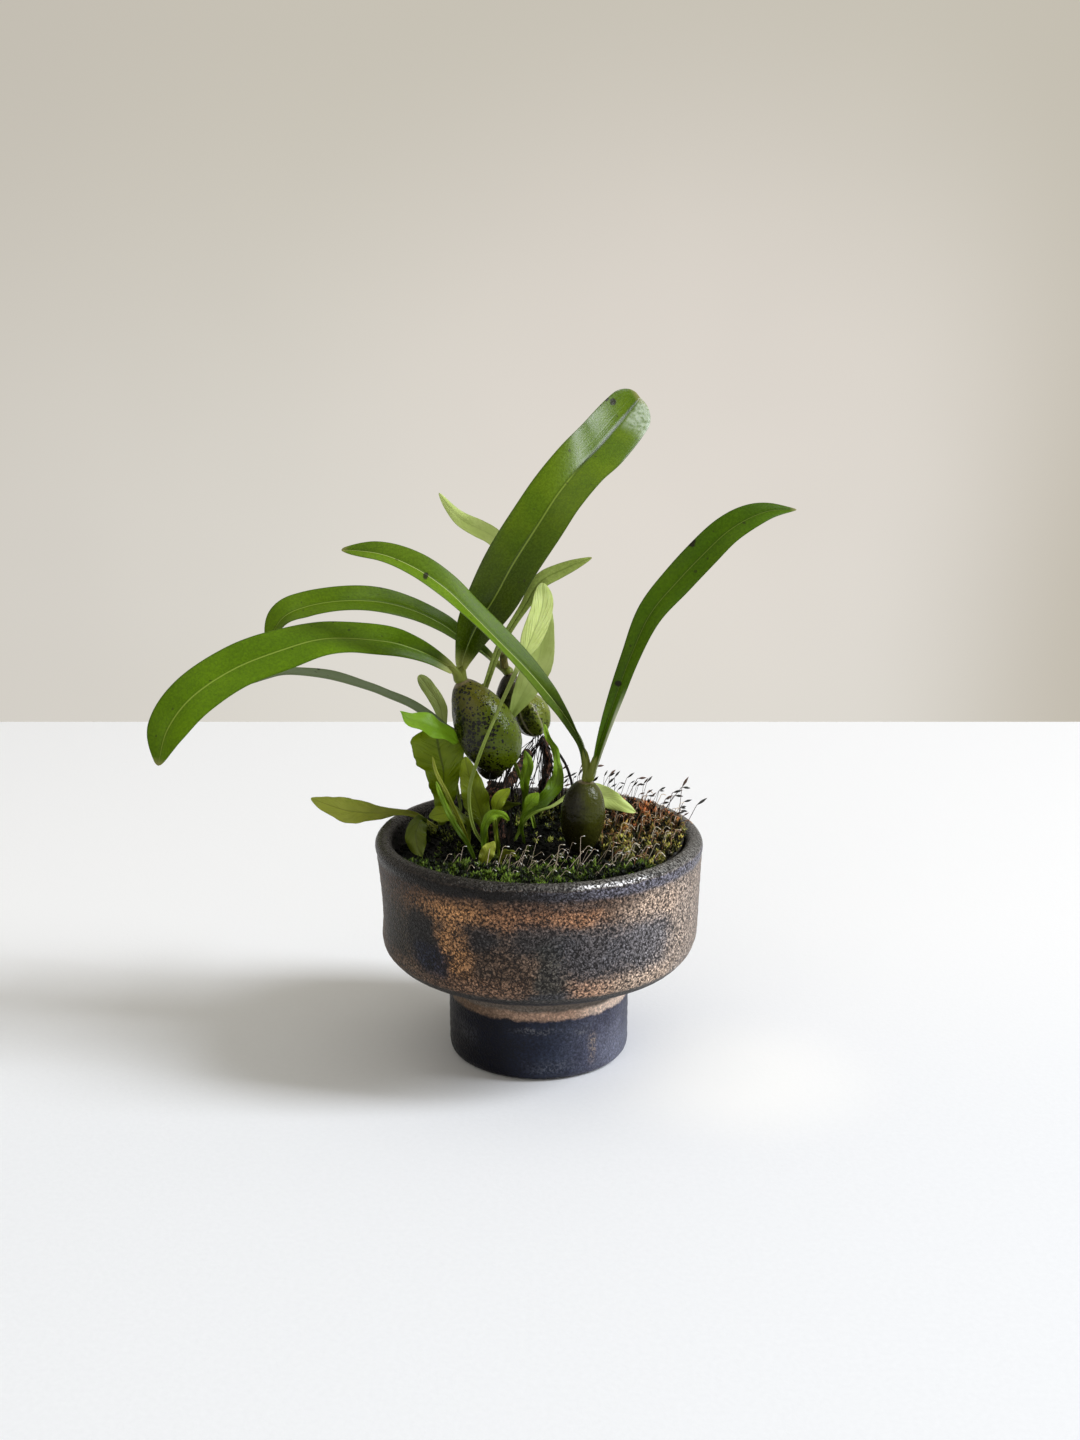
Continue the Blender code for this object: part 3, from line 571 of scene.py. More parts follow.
FRONDS = {
    "frond_tall_stalk": dict(finish="frond_pale_green", ripple=0.0003, tip=5, route=[
        (-14, -9, 62, 0.5, 0), (-18, -9, 69, 0.5, 0), (-19, -10, 79, 0.5, 0),
        (-16, -10, 90, 0.5, 0), (-10, -8, 104, 0.5, 0), (-5, -3, 114, 1, 0), (-2, 0, 120, 3, 0),
        (1, 4, 128, 3, 0), (1, 8, 134, 2, 0)]),
    "frond_tall": dict(finish="frond_lime", ripple=0.0006, lobing=0.35, tip=5, route=[
        (-1, 17, 60, 0.6, 0), (-4, 16, 72, 0.6, 0), (-8, 14, 84, 0.6, 0), (-9, 13, 91, 0.7, 0),
        (-7.5, 12, 95.5, 1.2, 0), (-5, 12, 100.5, 2.9, 0), (-2.5, 12, 105.5, 3.8, 0),
        (0, 12, 111.5, 4, 0), (1, 13, 118, 3.5, 0), (1, 14, 123.5, 3, 0), (-0.5, 17, 130, 2.6, 0),
        (-5.5, 20, 137, 2.3, 0), (-12.5, 24, 144, 2.4, 0), (-17, 25, 146.5, 2.5, 0),
        (-21.5, 24, 149, 2.1, 0), (-25, 23, 152.5, 1.3, 0), (-28, 22, 157, 0.7, 0)]),
    "frond_pale": dict(finish="frond_pale_green", ripple=0.0002, lobing=0.2, tip=4, route=[
        (-22.5, 26, 60, 0.5, 0), (-24.5, 26, 72, 0.6, 0), (-27.6, 26, 86.5, 1, 0), (-28.6, 26, 94, 2, 0),
        (-31.7, 26.5, 99.4, 2, 0), (-34.8, 27, 103.5, 2, 0)]),
    "frond_broad": dict(finish="frond_broad", ripple=0.0009, lobing=0.5, tip=4, route=[
        (-28, 11, 63, 1, 0), (-27.5, 10.5, 67, 2, 0), (-27, 10, 71, 3, 0), (-27, 9, 75.5, 4, 0),
        (-27, 8, 80.5, 5.4, 0), (-28, 8.5, 85, 7.1, 0), (-28.6, 8.7, 89, 7.5, 0), (-29, 8, 93, 7, 0)]),
    "frond_beside_broad": dict(finish="frond_olive", ripple=0.0006, lobing=0.4, tip=5, route=[
        (-14.5, -3, 62, 0.7, 0), (-15.3, -4, 67, 1.2, 0), (-16, -4, 70.5, 2.8, 0),
        (-17.5, -4.5, 76, 3.7, 0), (-19, -5, 81.5, 2.8, 0), (-20.3, -5.5, 88, 1.6, 0)]),
    "frond_over_rim": dict(finish="frond_tan_green", ripple=0.0007, lobing=0.4, tip=5, route=[
        (-29, 11, 62, 0.6, 30), (-35, 12.5, 65.2, 0.8, 30), (-41, 14, 66, 1.1, 30),
        (-46, 15, 65.3, 1.9, 30), (-51, 16, 65.2, 3.3, 30), (-56, 16.5, 65.7, 3.6, 30),
        (-62, 17, 67.6, 2.4, 30), (-66, 17, 69.2, 1.1, 30)]),
    "frond_drooping": dict(finish="frond_dark", ripple=0.0006, lobing=0.4, tip=4, route=[
        (-31, 6, 59.5, 0.6, 0), (-33, 4, 65, 0.8, 0), (-33, 2, 67.5, 1.8, 0), (-34.5, 0, 64.5, 2.9, 0),
        (-34, -2, 61, 2.6, 0), (-32.5, -4, 58.5, 1, 0)]),
    "frond_low_left": dict(finish="frond_olive", ripple=0.0005, lobing=0.4, tip=4, route=[
        (-20, 5, 59, 0.6, 0), (-20, 5, 65, 0.8, 20), (-23, 4, 68, 2, 50), (-26, 3, 69, 3, 50),
        (-31, 3, 68, 2, 50)]),
    "frond_strap": dict(finish="frond_fresh", ripple=0.0002, lobing=0.1, tip=3, route=[
        (-17.5, -11, 60, 0.5, 0), (-19.5, -11, 64.5, 0.7, 0), (-23.5, -11, 71, 0.8, 0),
        (-26.5, -11, 78, 0.7, 0), (-28, -11, 82.5, 0.5, 0)]),
    "frond_thin": dict(finish="frond_tan_green", ripple=0.0001, lobing=0.1, tip=3, route=[
        (-18.5, -6, 60, 0.5, 0), (-20.7, -7, 67, 0.6, 0), (-23.3, -8, 73.7, 0.6, 0),
        (-25.4, -9, 79, 0.6, 0), (-28, -9, 84.5, 0.5, 0), (-29, -9, 89, 0.4, 0)]),
    "frond_small_arch": dict(finish="frond_fresh", ripple=0.0003, lobing=0.3, tip=3, route=[
        (-15, -12, 61, 0.5, 0), (-15, -12, 69, 1, 0), (-13, -12, 73, 1.5, 0), (-10, -11, 73, 1, 0),
        (-8, -10, 71, 0.6, 0)]),
    "frond_oval_front": dict(finish="frond_tan_green", ripple=0.0003, lobing=0.3, tip=3, route=[
        (-16, -17, 59, 0.6, 0), (-14, -17, 64, 2, 0), (-12, -16, 67, 1, 0)]),
    "frond_olive": dict(finish="frond_dark", ripple=0.0004, lobing=0.3, tip=3, route=[
        (-11, -2, 60, 0.6, 0), (-12, -3, 67, 0.8, 20), (-11, -3, 72, 1.5, 40), (-9, -2, 73, 2, 40),
        (-5, -1, 73, 1, 40)]),
    "frond_upright_small": dict(finish="frond_olive", ripple=0.0004, lobing=0.3, tip=3, route=[
        (-11, -8, 60, 0.5, 0), (-12, -8, 68, 0.6, 0), (-12, -7, 72, 0.8, 0), (-11, -7, 76, 2, 0),
        (-8, -6, 79, 1, 0)]),
    "frond_oval_centre": dict(finish="frond_fresh", ripple=0.0003, lobing=0.2, tip=3, route=[
        (-4, 3, 60, 0.5, 0), (-5, 2, 66, 0.5, 0), (-4, 2, 70, 0.6, 0), (-2, 2, 73, 2, 0),
        (0, 3, 75, 1, 0)]),
    "frond_wavy": dict(finish="frond_fresh", ripple=0.001, lobing=0.4, tip=3, route=[
        (-6, 8, 61, 0.6, 0), (-4, 9, 66, 1.2, 0), (-1, 10, 69, 2, 0), (2, 11, 71.5, 2.3, 0),
        (4.5, 13, 74, 2.4, 0), (5.5, 14, 77.5, 1.6, 0), (5.2, 15, 81, 1, 0), (4.6, 15, 84.5, 1.1, 0),
        (2.6, 15, 88, 0.8, 0), (1.5, 15, 92, 0.6, 0)]),
    "frond_curled": dict(finish="frond_fresh", ripple=0.0005, lobing=0.3, tip=3, route=[
        (-5, 14, 60, 0.5, 0), (-4, 13, 71, 0.8, 0), (-4, 12, 76, 1.5, 0), (-3, 12, 81, 1.5, 0),
        (-4, 12, 85, 0.6, 0)]),
    "frond_right": dict(finish="frond_lime", ripple=0.0006, lobing=0.3, tip=4, route=[
        (-7, 5, 60, 0.5, 0), (-3, 6, 67, 0.5, -20), (4, 7, 70, 0.5, -20), (9, 8, 73, 0.9, -20),
        (13, 9, 73.8, 2.4, -20), (17, 9, 72.6, 3.2, -20), (20.5, 9, 71.2, 2.8, -20),
        (24, 9, 69.4, 1.8, -20), (27.8, 9, 67.3, 0.8, -20)]),
    "frond_dry": dict(finish="frond_tan_green", ripple=0.0004, lobing=0.4, tip=3, route=[
        (-11, -13, 59, 0.6, 0), (-10, -13, 62, 0.8, 20), (-8, -13, 63, 1.5, 40),
        (-6, -14, 62, 1, 40)]),
    "frond_flat": dict(finish="frond_dark", ripple=0.0002, lobing=0.2, tip=3, route=[
        (-17, -13, 59, 0.6, 60), (-20, -14, 60, 0.9, 80), (-25, -15, 60, 0.6, 80)]),
}

FROND_FOLD = 6
FROND_BUILD = dict(Thickness=0.00022, Groove=0.00012, Keel=0.00022, Around=28, Rows=80, Stalk_Fold=0.4,
                   Ripple_Count=3.6)

# Side lobe of the broad frond
FLAP = dict(finish="frond_flap", ripple=0.0005, tip=4, route=[
    (-22.4, 0, 90.6, 1, 60), (-25.9, -1, 93.5, 3, 60), (-29.4, -2, 95.5, 3.8, 60), (-32.6, -3, 97.1, 3.6, 60),
    (-35.6, -4, 98.3, 2.2, 60), (-38, -4, 100.5, 0.5, 60)])
FLAP_BUILD = dict(Thickness=0.00022, Groove=0.0001, Keel=0.0002, Around=28, Rows=60, Ripple_Count=2.5)

# Rhizomes, stems and roots: stations of (x, y, z, thickness factor), and a radius.
STEMS = {
    "stump_left": dict(radius=3.6, sides=26, rough=0.42, finish="fibrous_bark", slot="bark", route=[
        (-12, 6, 76, 0.8), (-13, 8, 70, 1.0), (-14, 10, 59, 1.1)]),
    "rhizome_link": dict(radius=1.3, sides=16, rough=0.42, finish="fibrous_bark", slot="bark", route=[
        (-10, 13, 73, 1.0), (-6, 19, 77, 1.0), (-3, 26, 81, 0.9)]),
    "rhizome_back": dict(radius=1.3, sides=16, rough=0.42, finish="fibrous_bark", slot="bark", route=[
        (1, 29.5, 84, 0.9), (1.6, 30, 81.5, 1.0), (2.7, 31, 77, 1.0), (2, 31, 72, 1.05),
        (0.7, 31, 66, 1.1), (0.5, 31, 60, 1.1)]),
    "old_flower_stem": dict(radius=1.2, sides=16, rough=0.12, finish="old_stem", slot="old_stem", route=[
        (-9.8, 21.3, 106.8, 1.0), (-10, 21.3, 109, 0.95), (-10, 21, 111.5, 1.05)]),
}

ROOTS = {
    "root_1": [(-3, 27, 80), (-7, 26, 78), (-10, 25, 72), (-11, 25, 65)],
    "root_2": [(-3, 29, 79), (-7, 29, 75), (-8, 30, 68), (-7, 31, 60)],
    "root_3": [(-1, 31, 80), (-3, 33, 75), (-4, 32, 68), (-4, 32, 60)],
    "root_4": [(4.6, 32.5, 79), (6.5, 34, 74), (7, 33, 67), (7, 32, 60)],
    "root_5": [(-9, 5, 77), (-9, 4, 71), (-8, 4, 65), (-9, 3, 60)],
    "root_6": [(-18, 12, 74), (-21, 14, 70), (-22, 16, 65), (-23, 17, 60)],
    "root_7": [(5, 28, 81), (8, 28, 76), (10, 29, 69), (11, 30, 61)],
}

# Pale stalks between bulbs and leaves: a route of (x, y, z, thickness factor) and a radius.
NECKS = {
    "neck_left": ([(-21.3, 4, 106.4, 1.25), (-21.6, 4, 108.4, 1.0), (-21.4, 4, 111.4, 0.7)], 1.7),
    "neck_left_long": ([(-21.8, 3.6, 107, 1.1), (-22.8, 2.6, 109.8, 0.85), (-24.8, 1.7, 112, 0.7)], 1.5),
    "neck_right": ([(13.1, -4, 79.9, 1.35), (13.3, -4, 81.6, 1.05), (13.4, -4.1, 84, 0.9),
                    (13, -4.2, 87, 0.75), (12.4, -4.3, 90, 0.5)], 1.35),
    "neck_right_low": ([(13.6, -4.6, 80.6, 1.1), (14.6, -5.3, 83.5, 1.0), (15.8, -5.5, 88.5, 0.6)], 1.25),
    "neck_back": ([(-8, 22, 104.8, 1.1), (-10, 23.4, 106.4, 0.9), (-12.4, 25, 107.6, 0.7)], 1.5),
    "neck_upper": ([(-16, 17, 100.4, 1.1), (-15.8, 15.8, 101.8, 0.9), (-15.2, 14.2, 103.4, 0.8)], 1.3),
    "neck_lower": ([(-17, 20, 85.2, 1.1), (-18.4, 20, 86.2, 0.9), (-20.4, 19.8, 87, 0.8)], 1.5),
}

# Bunches of fine roots: start and its reach, (x, y) on the mix and its spread, count.
HAIR_BUNCHES = [((0, 28, 84), 3.0, (-4, 30), 9.0, 18), ((2, 29.5, 81), 1.5, (4, 32), 5.0, 12),
                ((-12, 6, 78), 3.0, (-14, 6), 5.5, 22), ((-8, 4, 81), 2.0, (-6, 2), 5.0, 6)]

# Crumbs of the mix by length, width and height.
CRUMB_SIZES = [(1.6, 1.0, 0.7), (2.6, 1.3, 0.6), (1.1, 1.0, 0.9), (3.4, 0.9, 0.5), (1.9, 1.7, 0.6)]

# Moss shoots: seed, number of leaves, height, lean of the leaves.
SHOOTS = [(21, 8, 1.9, 0.9), (22, 9, 2.4, 0.7), (23, 8, 1.5, 1.1), (24, 10, 2.1, 0.8)]

# Beds: first and last azimuth, inner and outer radius, thickness, extra height at the outer edge.
MOSS = {
    "moss_front": dict(pad=(190, 330, 19, 40.6, 2.2, 1.8), finish="moss_green", seed=11),
    "moss_right": dict(pad=(-42, 68, 13, 40.6, 2.0, 2.6), finish="moss_rust", seed=12),
    "moss_back": dict(pad=(62, 148, 24, 40.6, 1.6, 1.6), finish="moss_olive", seed=13),
}
STALKS = {
    "spore_stalks_front": dict(
        pad=(205, 330, 6, 34, 0.3, 0.0), finish="stalk_pale", kind="nodding",
        spread=dict(Seed=31, Spacing=0.0020, Density=2.8e5, Patchiness=0.3, Tilt=0.35)),
    "spore_stalks_right": dict(
        pad=(-44, 60, 14, 39, 1.6, 2.4), finish="stalk_rust", kind="short",
        spread=dict(Seed=32, Spacing=0.0014, Density=4e5, Patchiness=0.5, Tilt=0.35)),
    "spore_stalks_back": dict(
        pad=(-4, 112, 32, 39.5, 2.0, 2.0), finish="stalk_dark", kind="tall",
        spread=dict(Seed=33, Spacing=0.0019, Density=5e5, Patchiness=0.0, Tilt=0.28)),
}

# Kinds of spore stalk: rows of (seed, height, hook radius, capsule length, nod in degrees), and a build.
STALK_KINDS = {
    "nodding": ([(41, 6.5, 0.6, 0.6, 34), (42, 5.0, 0.55, 0.6, 38), (43, 7.5, 0.7, 0.7, 30),
                 (44, 4.0, 0.5, 0.6, 36)], dict(thick=0.065, plump=0.42, leaning=(0.4, 0.9))),
    "short": ([(45, 3.6, 0.65, 0.7, 34), (46, 4.6, 0.75, 0.8, 38), (47, 2.8, 0.55, 0.6, 34),
               (48, 5.6, 0.70, 0.8, 30)], dict(thick=0.1, plump=0.42)),
    "tall": ([(49, 9.8, 0.5, 2.6, 17), (50, 8.2, 0.45, 2.2, 20), (51, 11.4, 0.6, 2.8, 14),
              (52, 9.2, 0.6, 2.0, 24)], dict(thick=0.09, plump=1.05)),
}
CAPSULE_RADII = [0.09, 0.22, 0.32, 0.30, 0.18, 0.05]


# ================================================================ shader groups

def put(t, group, **values):
    """Place a group in a material; words in input names are joined by underscores."""
    made = t.node("ShaderNodeGroup", node_tree=TREES[group])
    for key, value in values.items():
        t.feed(made.inputs[key.replace("_", " ")], value)
    return made.outputs


def shader_group(name, inputs, *outputs):
    return new_tree(name, "ShaderNodeTree", inputs, [(output, FLOAT) for output in outputs])


def cells_of(t, given, bend, amount, feature):
    """Round cells at the group's scale, bent by a noise so that they aren't regular."""
    shift = t.scaled(bend.outputs["Color"], amount / given["Scale"])
    spot = t.vector("ADD", given["Vector"], shift)
    return t.node("ShaderNodeTexVoronoi", {"Vector": spot, "Scale": given["Scale"]}, feature=feature).outputs


def dots_group():
    """Round dots of uneven size, as on the bulbs' skin."""
    t, given = shader_group("dots", [
        ("Vector", VECTOR), ("Scale", FLOAT), ("Size", FLOAT), ("Unevenness", FLOAT)], "Dots")
    bend = t.node("ShaderNodeTexNoise", {"Vector": given["Vector"], "Scale": given["Scale"], "Detail": 1.0})
    cells = cells_of(t, given, bend, 0.5, "F1")
    chance = t.separate(cells["Color"])["X"]
    reach = given["Size"] * ((chance - 0.5) * (given["Unevenness"] * 2.0) + 1.0)
    t.node("NodeGroupOutput", {"Dots": t.span(cells["Distance"], reach, reach * 0.6)})


def pebble_group():
    """Leathery orange peel of a thick glaze: small domes with gaps between them."""
    t, given = shader_group("pebbles", [
        ("Vector", VECTOR), ("Scale", FLOAT), ("Warp", FLOAT)], "Height", "Gaps")
    bend = t.node("ShaderNodeTexNoise", {
        "Vector": given["Vector"], "Scale": given["Scale"] * 0.8, "Detail": 2.0})
    from_edge = cells_of(t, given, bend, given["Warp"], "DISTANCE_TO_EDGE")["Distance"]
    t.node("NodeGroupOutput", {
        "Height": t.span(from_edge, 0.0, 0.35), "Gaps": t.span(from_edge, 0.14, 0.02)})


def grain_group():
    """Fine sandy grain, and slow clouds for colour variation."""
    t, given = shader_group("grain", [
        ("Vector", VECTOR), ("Scale", FLOAT), ("Cloud Scale", FLOAT)], "Clouds", "Fine")
    t.node("NodeGroupOutput", {
        "Clouds": t.noise(given["Vector"], given["Cloud Scale"], 4.0, 0.6),
        "Fine": t.noise(given["Vector"], given["Scale"], 2.0, 0.6, 0.6)})


def blade_lines_group():
    """Lines of a leaf, read from its own map: X runs across, Y from stalk to tip."""
    t, given = shader_group("blade_lines", [
        ("Map", VECTOR), ("Midrib Width", FLOAT, 0.02), ("Margin Width", FLOAT, 0.02),
        ("Vein Count", FLOAT, 24.0), ("Seed", FLOAT, 0.0)], "Midrib", "Margin", "Veins", "Side Veins")
    spot = t.separate(given["Map"])
    off = t.math("ABSOLUTE", spot["X"] - 0.5)
    lines = t.combine(spot["X"] * given["Vein Count"], spot["Y"] * 1.6, given["Seed"])
    slanting = t.combine(spot["Y"] * 26.0 - off * 9.0, spot["X"] * 2.0, given["Seed"])
    t.node("NodeGroupOutput", {
        "Midrib": t.span(off, given["Midrib Width"], given["Midrib Width"] * 0.3),
        "Margin": t.span(off, 0.5 - given["Margin Width"], 0.5),
        "Veins": t.noise(lines, 1.0, 2.0, 0.5),
        "Side Veins": t.span(t.noise(slanting, 1.3, 1.0), 0.52, 0.62)})


def glaze_patch_group():
    """Soft-edged patch of glaze round a place on the wall, azimuth in degrees and height in mm."""
    t, given = shader_group("glaze_patch", [
        ("Azimuth", FLOAT), ("Height", FLOAT), ("At Azimuth", FLOAT), ("At Height", FLOAT),
        ("Half Width", FLOAT), ("Half Height", FLOAT), ("Softness", FLOAT), ("Grain", FLOAT)], "Patch")
    across = (given["Azimuth"] - given["At Azimuth"]) / given["Half Width"]
    up = (given["Height"] - given["At Height"]) / given["Half Height"]
    # a rounded box rather than an ellipse
    power = 3.0
    reach = t.math("ABSOLUTE", across) ** power + t.math("ABSOLUTE", up) ** power
    away = (given["Grain"] - 0.5) * 0.9 + reach ** (1.0 / power)
    patch = t.span(away, 1.0 + given["Softness"], 1.0 - given["Softness"])
    t.node("NodeGroupOutput", {"Patch": patch})


# ================================================================ finishes

FINISHES = {}
DEGREES = 180.0 / math.pi


def finish(name, **settings):
    """New material with a Principled shader; settings go on its sockets as they are."""
    mat = bpy.data.materials.new(name)
    mat.use_nodes = True
    shader = mat.node_tree.nodes["Principled BSDF"]
    for key, value in settings.items():
        shader.inputs[key.replace("_", " ")].default_value = value
    FINISHES[name] = mat
    return Tree(mat.node_tree), shader


def paint(t, shader, colour, roughness, relief=None, depth=0.0, strength=1.0):
    """Feed a Principled shader; depth is the height of the relief in metres."""
    t.feed(shader.inputs["Base Color"], colour)
    t.feed(shader.inputs["Roughness"], roughness)
    if relief:
        bump = t.node("ShaderNodeBump", {"Height": relief, "Distance": depth, "Strength": strength})
        t.feed(shader.inputs["Normal"], bump.outputs[0])


def object_place(t):
    return t.node("ShaderNodeTexCoord").outputs["Object"]


def surface_map(t):
    return t.out("ShaderNodeUVMap", uv_map="UVMap")


def attribute(t, name):
    return t.node("ShaderNodeAttribute", attribute_name=name).outputs["Fac"]


def darkened(colour, factor):
    return [c * factor for c in colour]


# Glaze patches on the wall: azimuth in degrees, height in mm, half width, half height, softness,
# colour and strength. Later rows lie over earlier ones.
GOLD = (0.30, 0.165, 0.070)
BRIGHT_GOLD = (0.68, 0.345, 0.150)
ORANGE = (0.36, 0.180, 0.095)
BEIGE = (0.34, 0.265, 0.215)
OLIVE_GREY = (0.060, 0.058, 0.050)
SLATE = (0.070, 0.072, 0.082)
INK = (0.028, 0.034, 0.060)
GLAZE_PATCHES = [
    (64, 47, 26, 15, 0.6, BEIGE, 0.75),
    (-60, 53, 12, 5, 0.6, (0.13, 0.092, 0.068), 0.75),
    (-62, 44, 14, 7.5, 0.5, OLIVE_GREY, 0.85),
    (-52, 35, 12, 2.8, 0.6, (0.22, 0.145, 0.1), 0.7),
    (-30, 55, 18, 3.8, 0.6, BRIGHT_GOLD, 0.95),
    (-5, 54.5, 15, 3.4, 0.6, ORANGE, 0.9),
    (11, 55, 10, 2.4, 0.6, ORANGE, 0.85),
    (44, 54.5, 12, 3.6, 0.6, (0.46, 0.34, 0.26), 0.8),
    (-29, 45, 6.5, 10, 0.5, BRIGHT_GOLD, 0.9),
    (-22, 34.5, 17, 3.2, 0.5, (0.3, 0.17, 0.105), 0.85),
    (18, 34.5, 9, 3.0, 0.5, (0.4, 0.235, 0.155), 0.9),
    (38, 35, 14, 3.0, 0.6, (0.5, 0.37, 0.28), 0.8),
    (-44, 47.5, 8, 8.5, 0.4, (0.038, 0.038, 0.04), 0.95),
    (-39, 40, 8, 4.6, 0.45, INK, 0.95),
    (-20, 49.5, 8, 4.3, 0.5, (0.045, 0.046, 0.05), 0.92),
    (1, 49.5, 11, 5.0, 0.45, (0.056, 0.057, 0.062), 0.88),
    (4, 39, 5, 9, 0.5, (0.05, 0.056, 0.052), 0.8),
    (18, 45, 12, 7.8, 0.4, SLATE, 0.85),
    (38, 45, 13, 7.4, 0.45, (0.11, 0.11, 0.125), 0.85),
    (5, 32.5, 7, 2.4, 0.5, SLATE, 0.85),
    (100, 46, 16, 8, 0.5, SLATE, 0.85),
    (140, 41, 14, 7, 0.5, INK, 0.85),
    (176, 47, 18, 7, 0.5, SLATE, 0.85),
    (-150, 42, 20, 8, 0.5, SLATE, 0.85),
    (-105, 48, 15, 8, 0.5, OLIVE_GREY, 0.85),
    (120, 55, 22, 3.6, 0.6, ORANGE, 0.85),
    (165, 36, 24, 4, 0.6, ORANGE, 0.85),
    (-128, 55, 22, 3.4, 0.6, GOLD, 0.85),
    (-95, 37, 16, 4.5, 0.6, GOLD, 0.7),
]
# Grey scuffs on the foot: azimuth, height, half width, half height and strength.
SCUFFS = [
    (-2, 15.2, 13, 0.7, 0.5), (27, 14.4, 6, 0.8, 0.5), (10, 4.2, 16, 1.6, 0.22), (-52, 11, 10, 2.5, 0.2)]


def pot_fields(t):
    """Fields on the pot: angles in degrees, heights in mm; 'turned' is 0 in front, 90 at both flanks."""
    here = object_place(t)
    spot = t.separate(here)
    radius = t.math("SQRT", spot["X"] * spot["X"] + spot["Y"] * spot["Y"])
    azimuth = t.math("ARCTAN2", spot["X"], -spot["Y"]) * DEGREES
    height = spot["Z"] / MM
    sway = t.node("ShaderNodeTexNoise", {"Vector": here, "Scale": 150.0, "Detail": 4.0, "Roughness": 0.7})
    shift = t.separate(sway.outputs["Color"])
    grain = put(t, "grain", Vector=here, Scale=1350.0, Cloud_Scale=110.0)
    pebbles = put(t, "pebbles", Vector=here, Scale=1050.0, Warp=0.9)
    return SimpleNamespace(
        here=here, radius=radius, azimuth=azimuth, height=height, sway=sway.outputs["Color"], shift=shift,
        turned=t.math("ARCSINE", spot["X"] / radius) * DEGREES, fine=grain["Fine"],
        azimuth_swayed=(shift["X"] - 0.5) * 14.0 + azimuth,
        height_swayed=(shift["Y"] - 0.5) * 6.0 + height,
        clouds=t.span(grain["Clouds"], 0.35, 0.65), wall_mask=t.span(height, 27.0, 33.0),
        domes=pebbles["Height"], gaps=pebbles["Gaps"])


def glaze_patch(t, f, at, high, wide, tall, softness, swayed=True):
    """1 inside a soft-edged patch round an azimuth and a height."""
    azimuth, height = (f.azimuth_swayed, f.height_swayed) if swayed else (f.azimuth, f.height)
    return put(t, "glaze_patch", Azimuth=azimuth, Height=height, At_Azimuth=at, At_Height=high,
               Half_Width=wide, Half_Height=tall, Softness=softness, Grain=f.fine)["Patch"]


def wall_colour(t, f):
    """Brown wall that turns grey on the right, under its patches of glaze."""
    brown = t.blend((0.135, 0.088, 0.062), (0.2, 0.135, 0.098), f.clouds)
    grey = t.blend((0.2, 0.165, 0.142), (0.29, 0.245, 0.215), f.clouds)
    wall = t.blend(brown, grey, t.span(f.turned, 22.0, 60.0))
    for *where, tone, strength in GLAZE_PATCHES:
        wall = t.blend(wall, tone, glaze_patch(t, f, *where) * strength)
    return wall


def lip_colour(t, f, wall):
    """Dark shoulder, slate band, brown-grey crest with painted highlights, and a dark inner face."""
    shoulder = t.span(f.height_swayed, 54.5, 58.5) * t.span(f.turned, 40.0, 12.0)
    colour = t.blend(wall, t.shade(wall, (0.42, 0.42, 0.48)), shoulder * 0.7)
    height = (f.shift["Y"] - 0.5) * 2.5 + f.height
    slate_band = t.span(height, 59.2, 60.9) * t.span(height, 63.4, 62.6)
    slate = t.blend((0.009, 0.009, 0.009), (0.115, 0.113, 0.145), t.span(f.turned, -12.0, 32.0))
    colour = t.blend(colour, slate, slate_band * 0.95)
    crest = t.blend((0.032, 0.027, 0.023), (0.125, 0.12, 0.112), t.span(f.turned, -45.0, 45.0))
    colour = t.blend(colour, crest, t.span(height, 62.6, 63.4))
    # painted highlights: pale specks along the crest on the front right, where the window is reflected
    painted_glints = t.span(height, 63.0, 63.4) * t.span(height, 64.1, 63.7)
    painted_glints = painted_glints * (t.span(f.turned, 8.0, 18.0) * t.span(f.turned, 50.0, 32.0))
    colour = t.blend(colour, (0.62, 0.61, 0.63), painted_glints * t.span(f.fine, 0.46, 0.56))
    inner_face = t.span(f.radius, 0.0435, 0.0425)
    return t.blend(colour, (0.06, 0.055, 0.05), t.span(f.height, 63.6, 61.5) * inner_face)


def foot_colour(t, f):
    """Navy foot and tan collar, both with painted shade on the left and painted light on the right; the
    collar ends in a soft even line.
    """
    cloud = t.noise(f.here, 60.0, 4.0, 0.6)
    # painted shade and light: the navy goes near black on the left and is painted lighter on its lit right
    # side
    foot = t.blend((0.001, 0.002, 0.009), (0.03, 0.039, 0.068), t.span(f.turned, -30.0, 6.0))
    lit_side = t.span(f.turned, 4.0, 50.0) * t.span(f.turned, 88.0, 58.0, 0.35, 1.0)
    foot = t.blend(foot, (0.128, 0.135, 0.19), lit_side)
    foot = t.blend(foot, t.shade(foot, (0.45, 0.45, 0.55)), t.span(cloud, 0.66, 0.4))
    for at, high, wide, tall, strength in SCUFFS:
        scuff = glaze_patch(t, f, at, high, wide, tall, 0.7) * t.span(f.fine, 0.42, 0.6)
        foot = t.blend(foot, (0.16, 0.16, 0.17), scuff * strength)
    drip = glaze_patch(t, f, 35.5, 8.5, 3.0, 4.2, 0.6)
    foot = t.blend(foot, (0.24, 0.19, 0.155), drip * t.span(f.fine, 0.4, 0.62))
    edge = (f.fine - 0.5) * 0.8 + ((f.shift["Z"] - 0.5) * 2.4 + f.height)
    # painted shade and light: the collar is darker on the left and painted much paler on the right, where the
    # window's light falls on it
    collar = t.blend((0.14, 0.088, 0.055), (0.54, 0.35, 0.25), t.span(f.turned, -50.0, 22.0))
    collar = t.blend(collar, (0.88, 0.68, 0.56), t.span(f.turned, 18.0, 42.0))
    foot = t.blend(foot, collar, t.span(edge, 17.6, 18.8))
    return t.blend(foot, (0.13, 0.105, 0.085), t.span(edge, 20.2, 21.4))


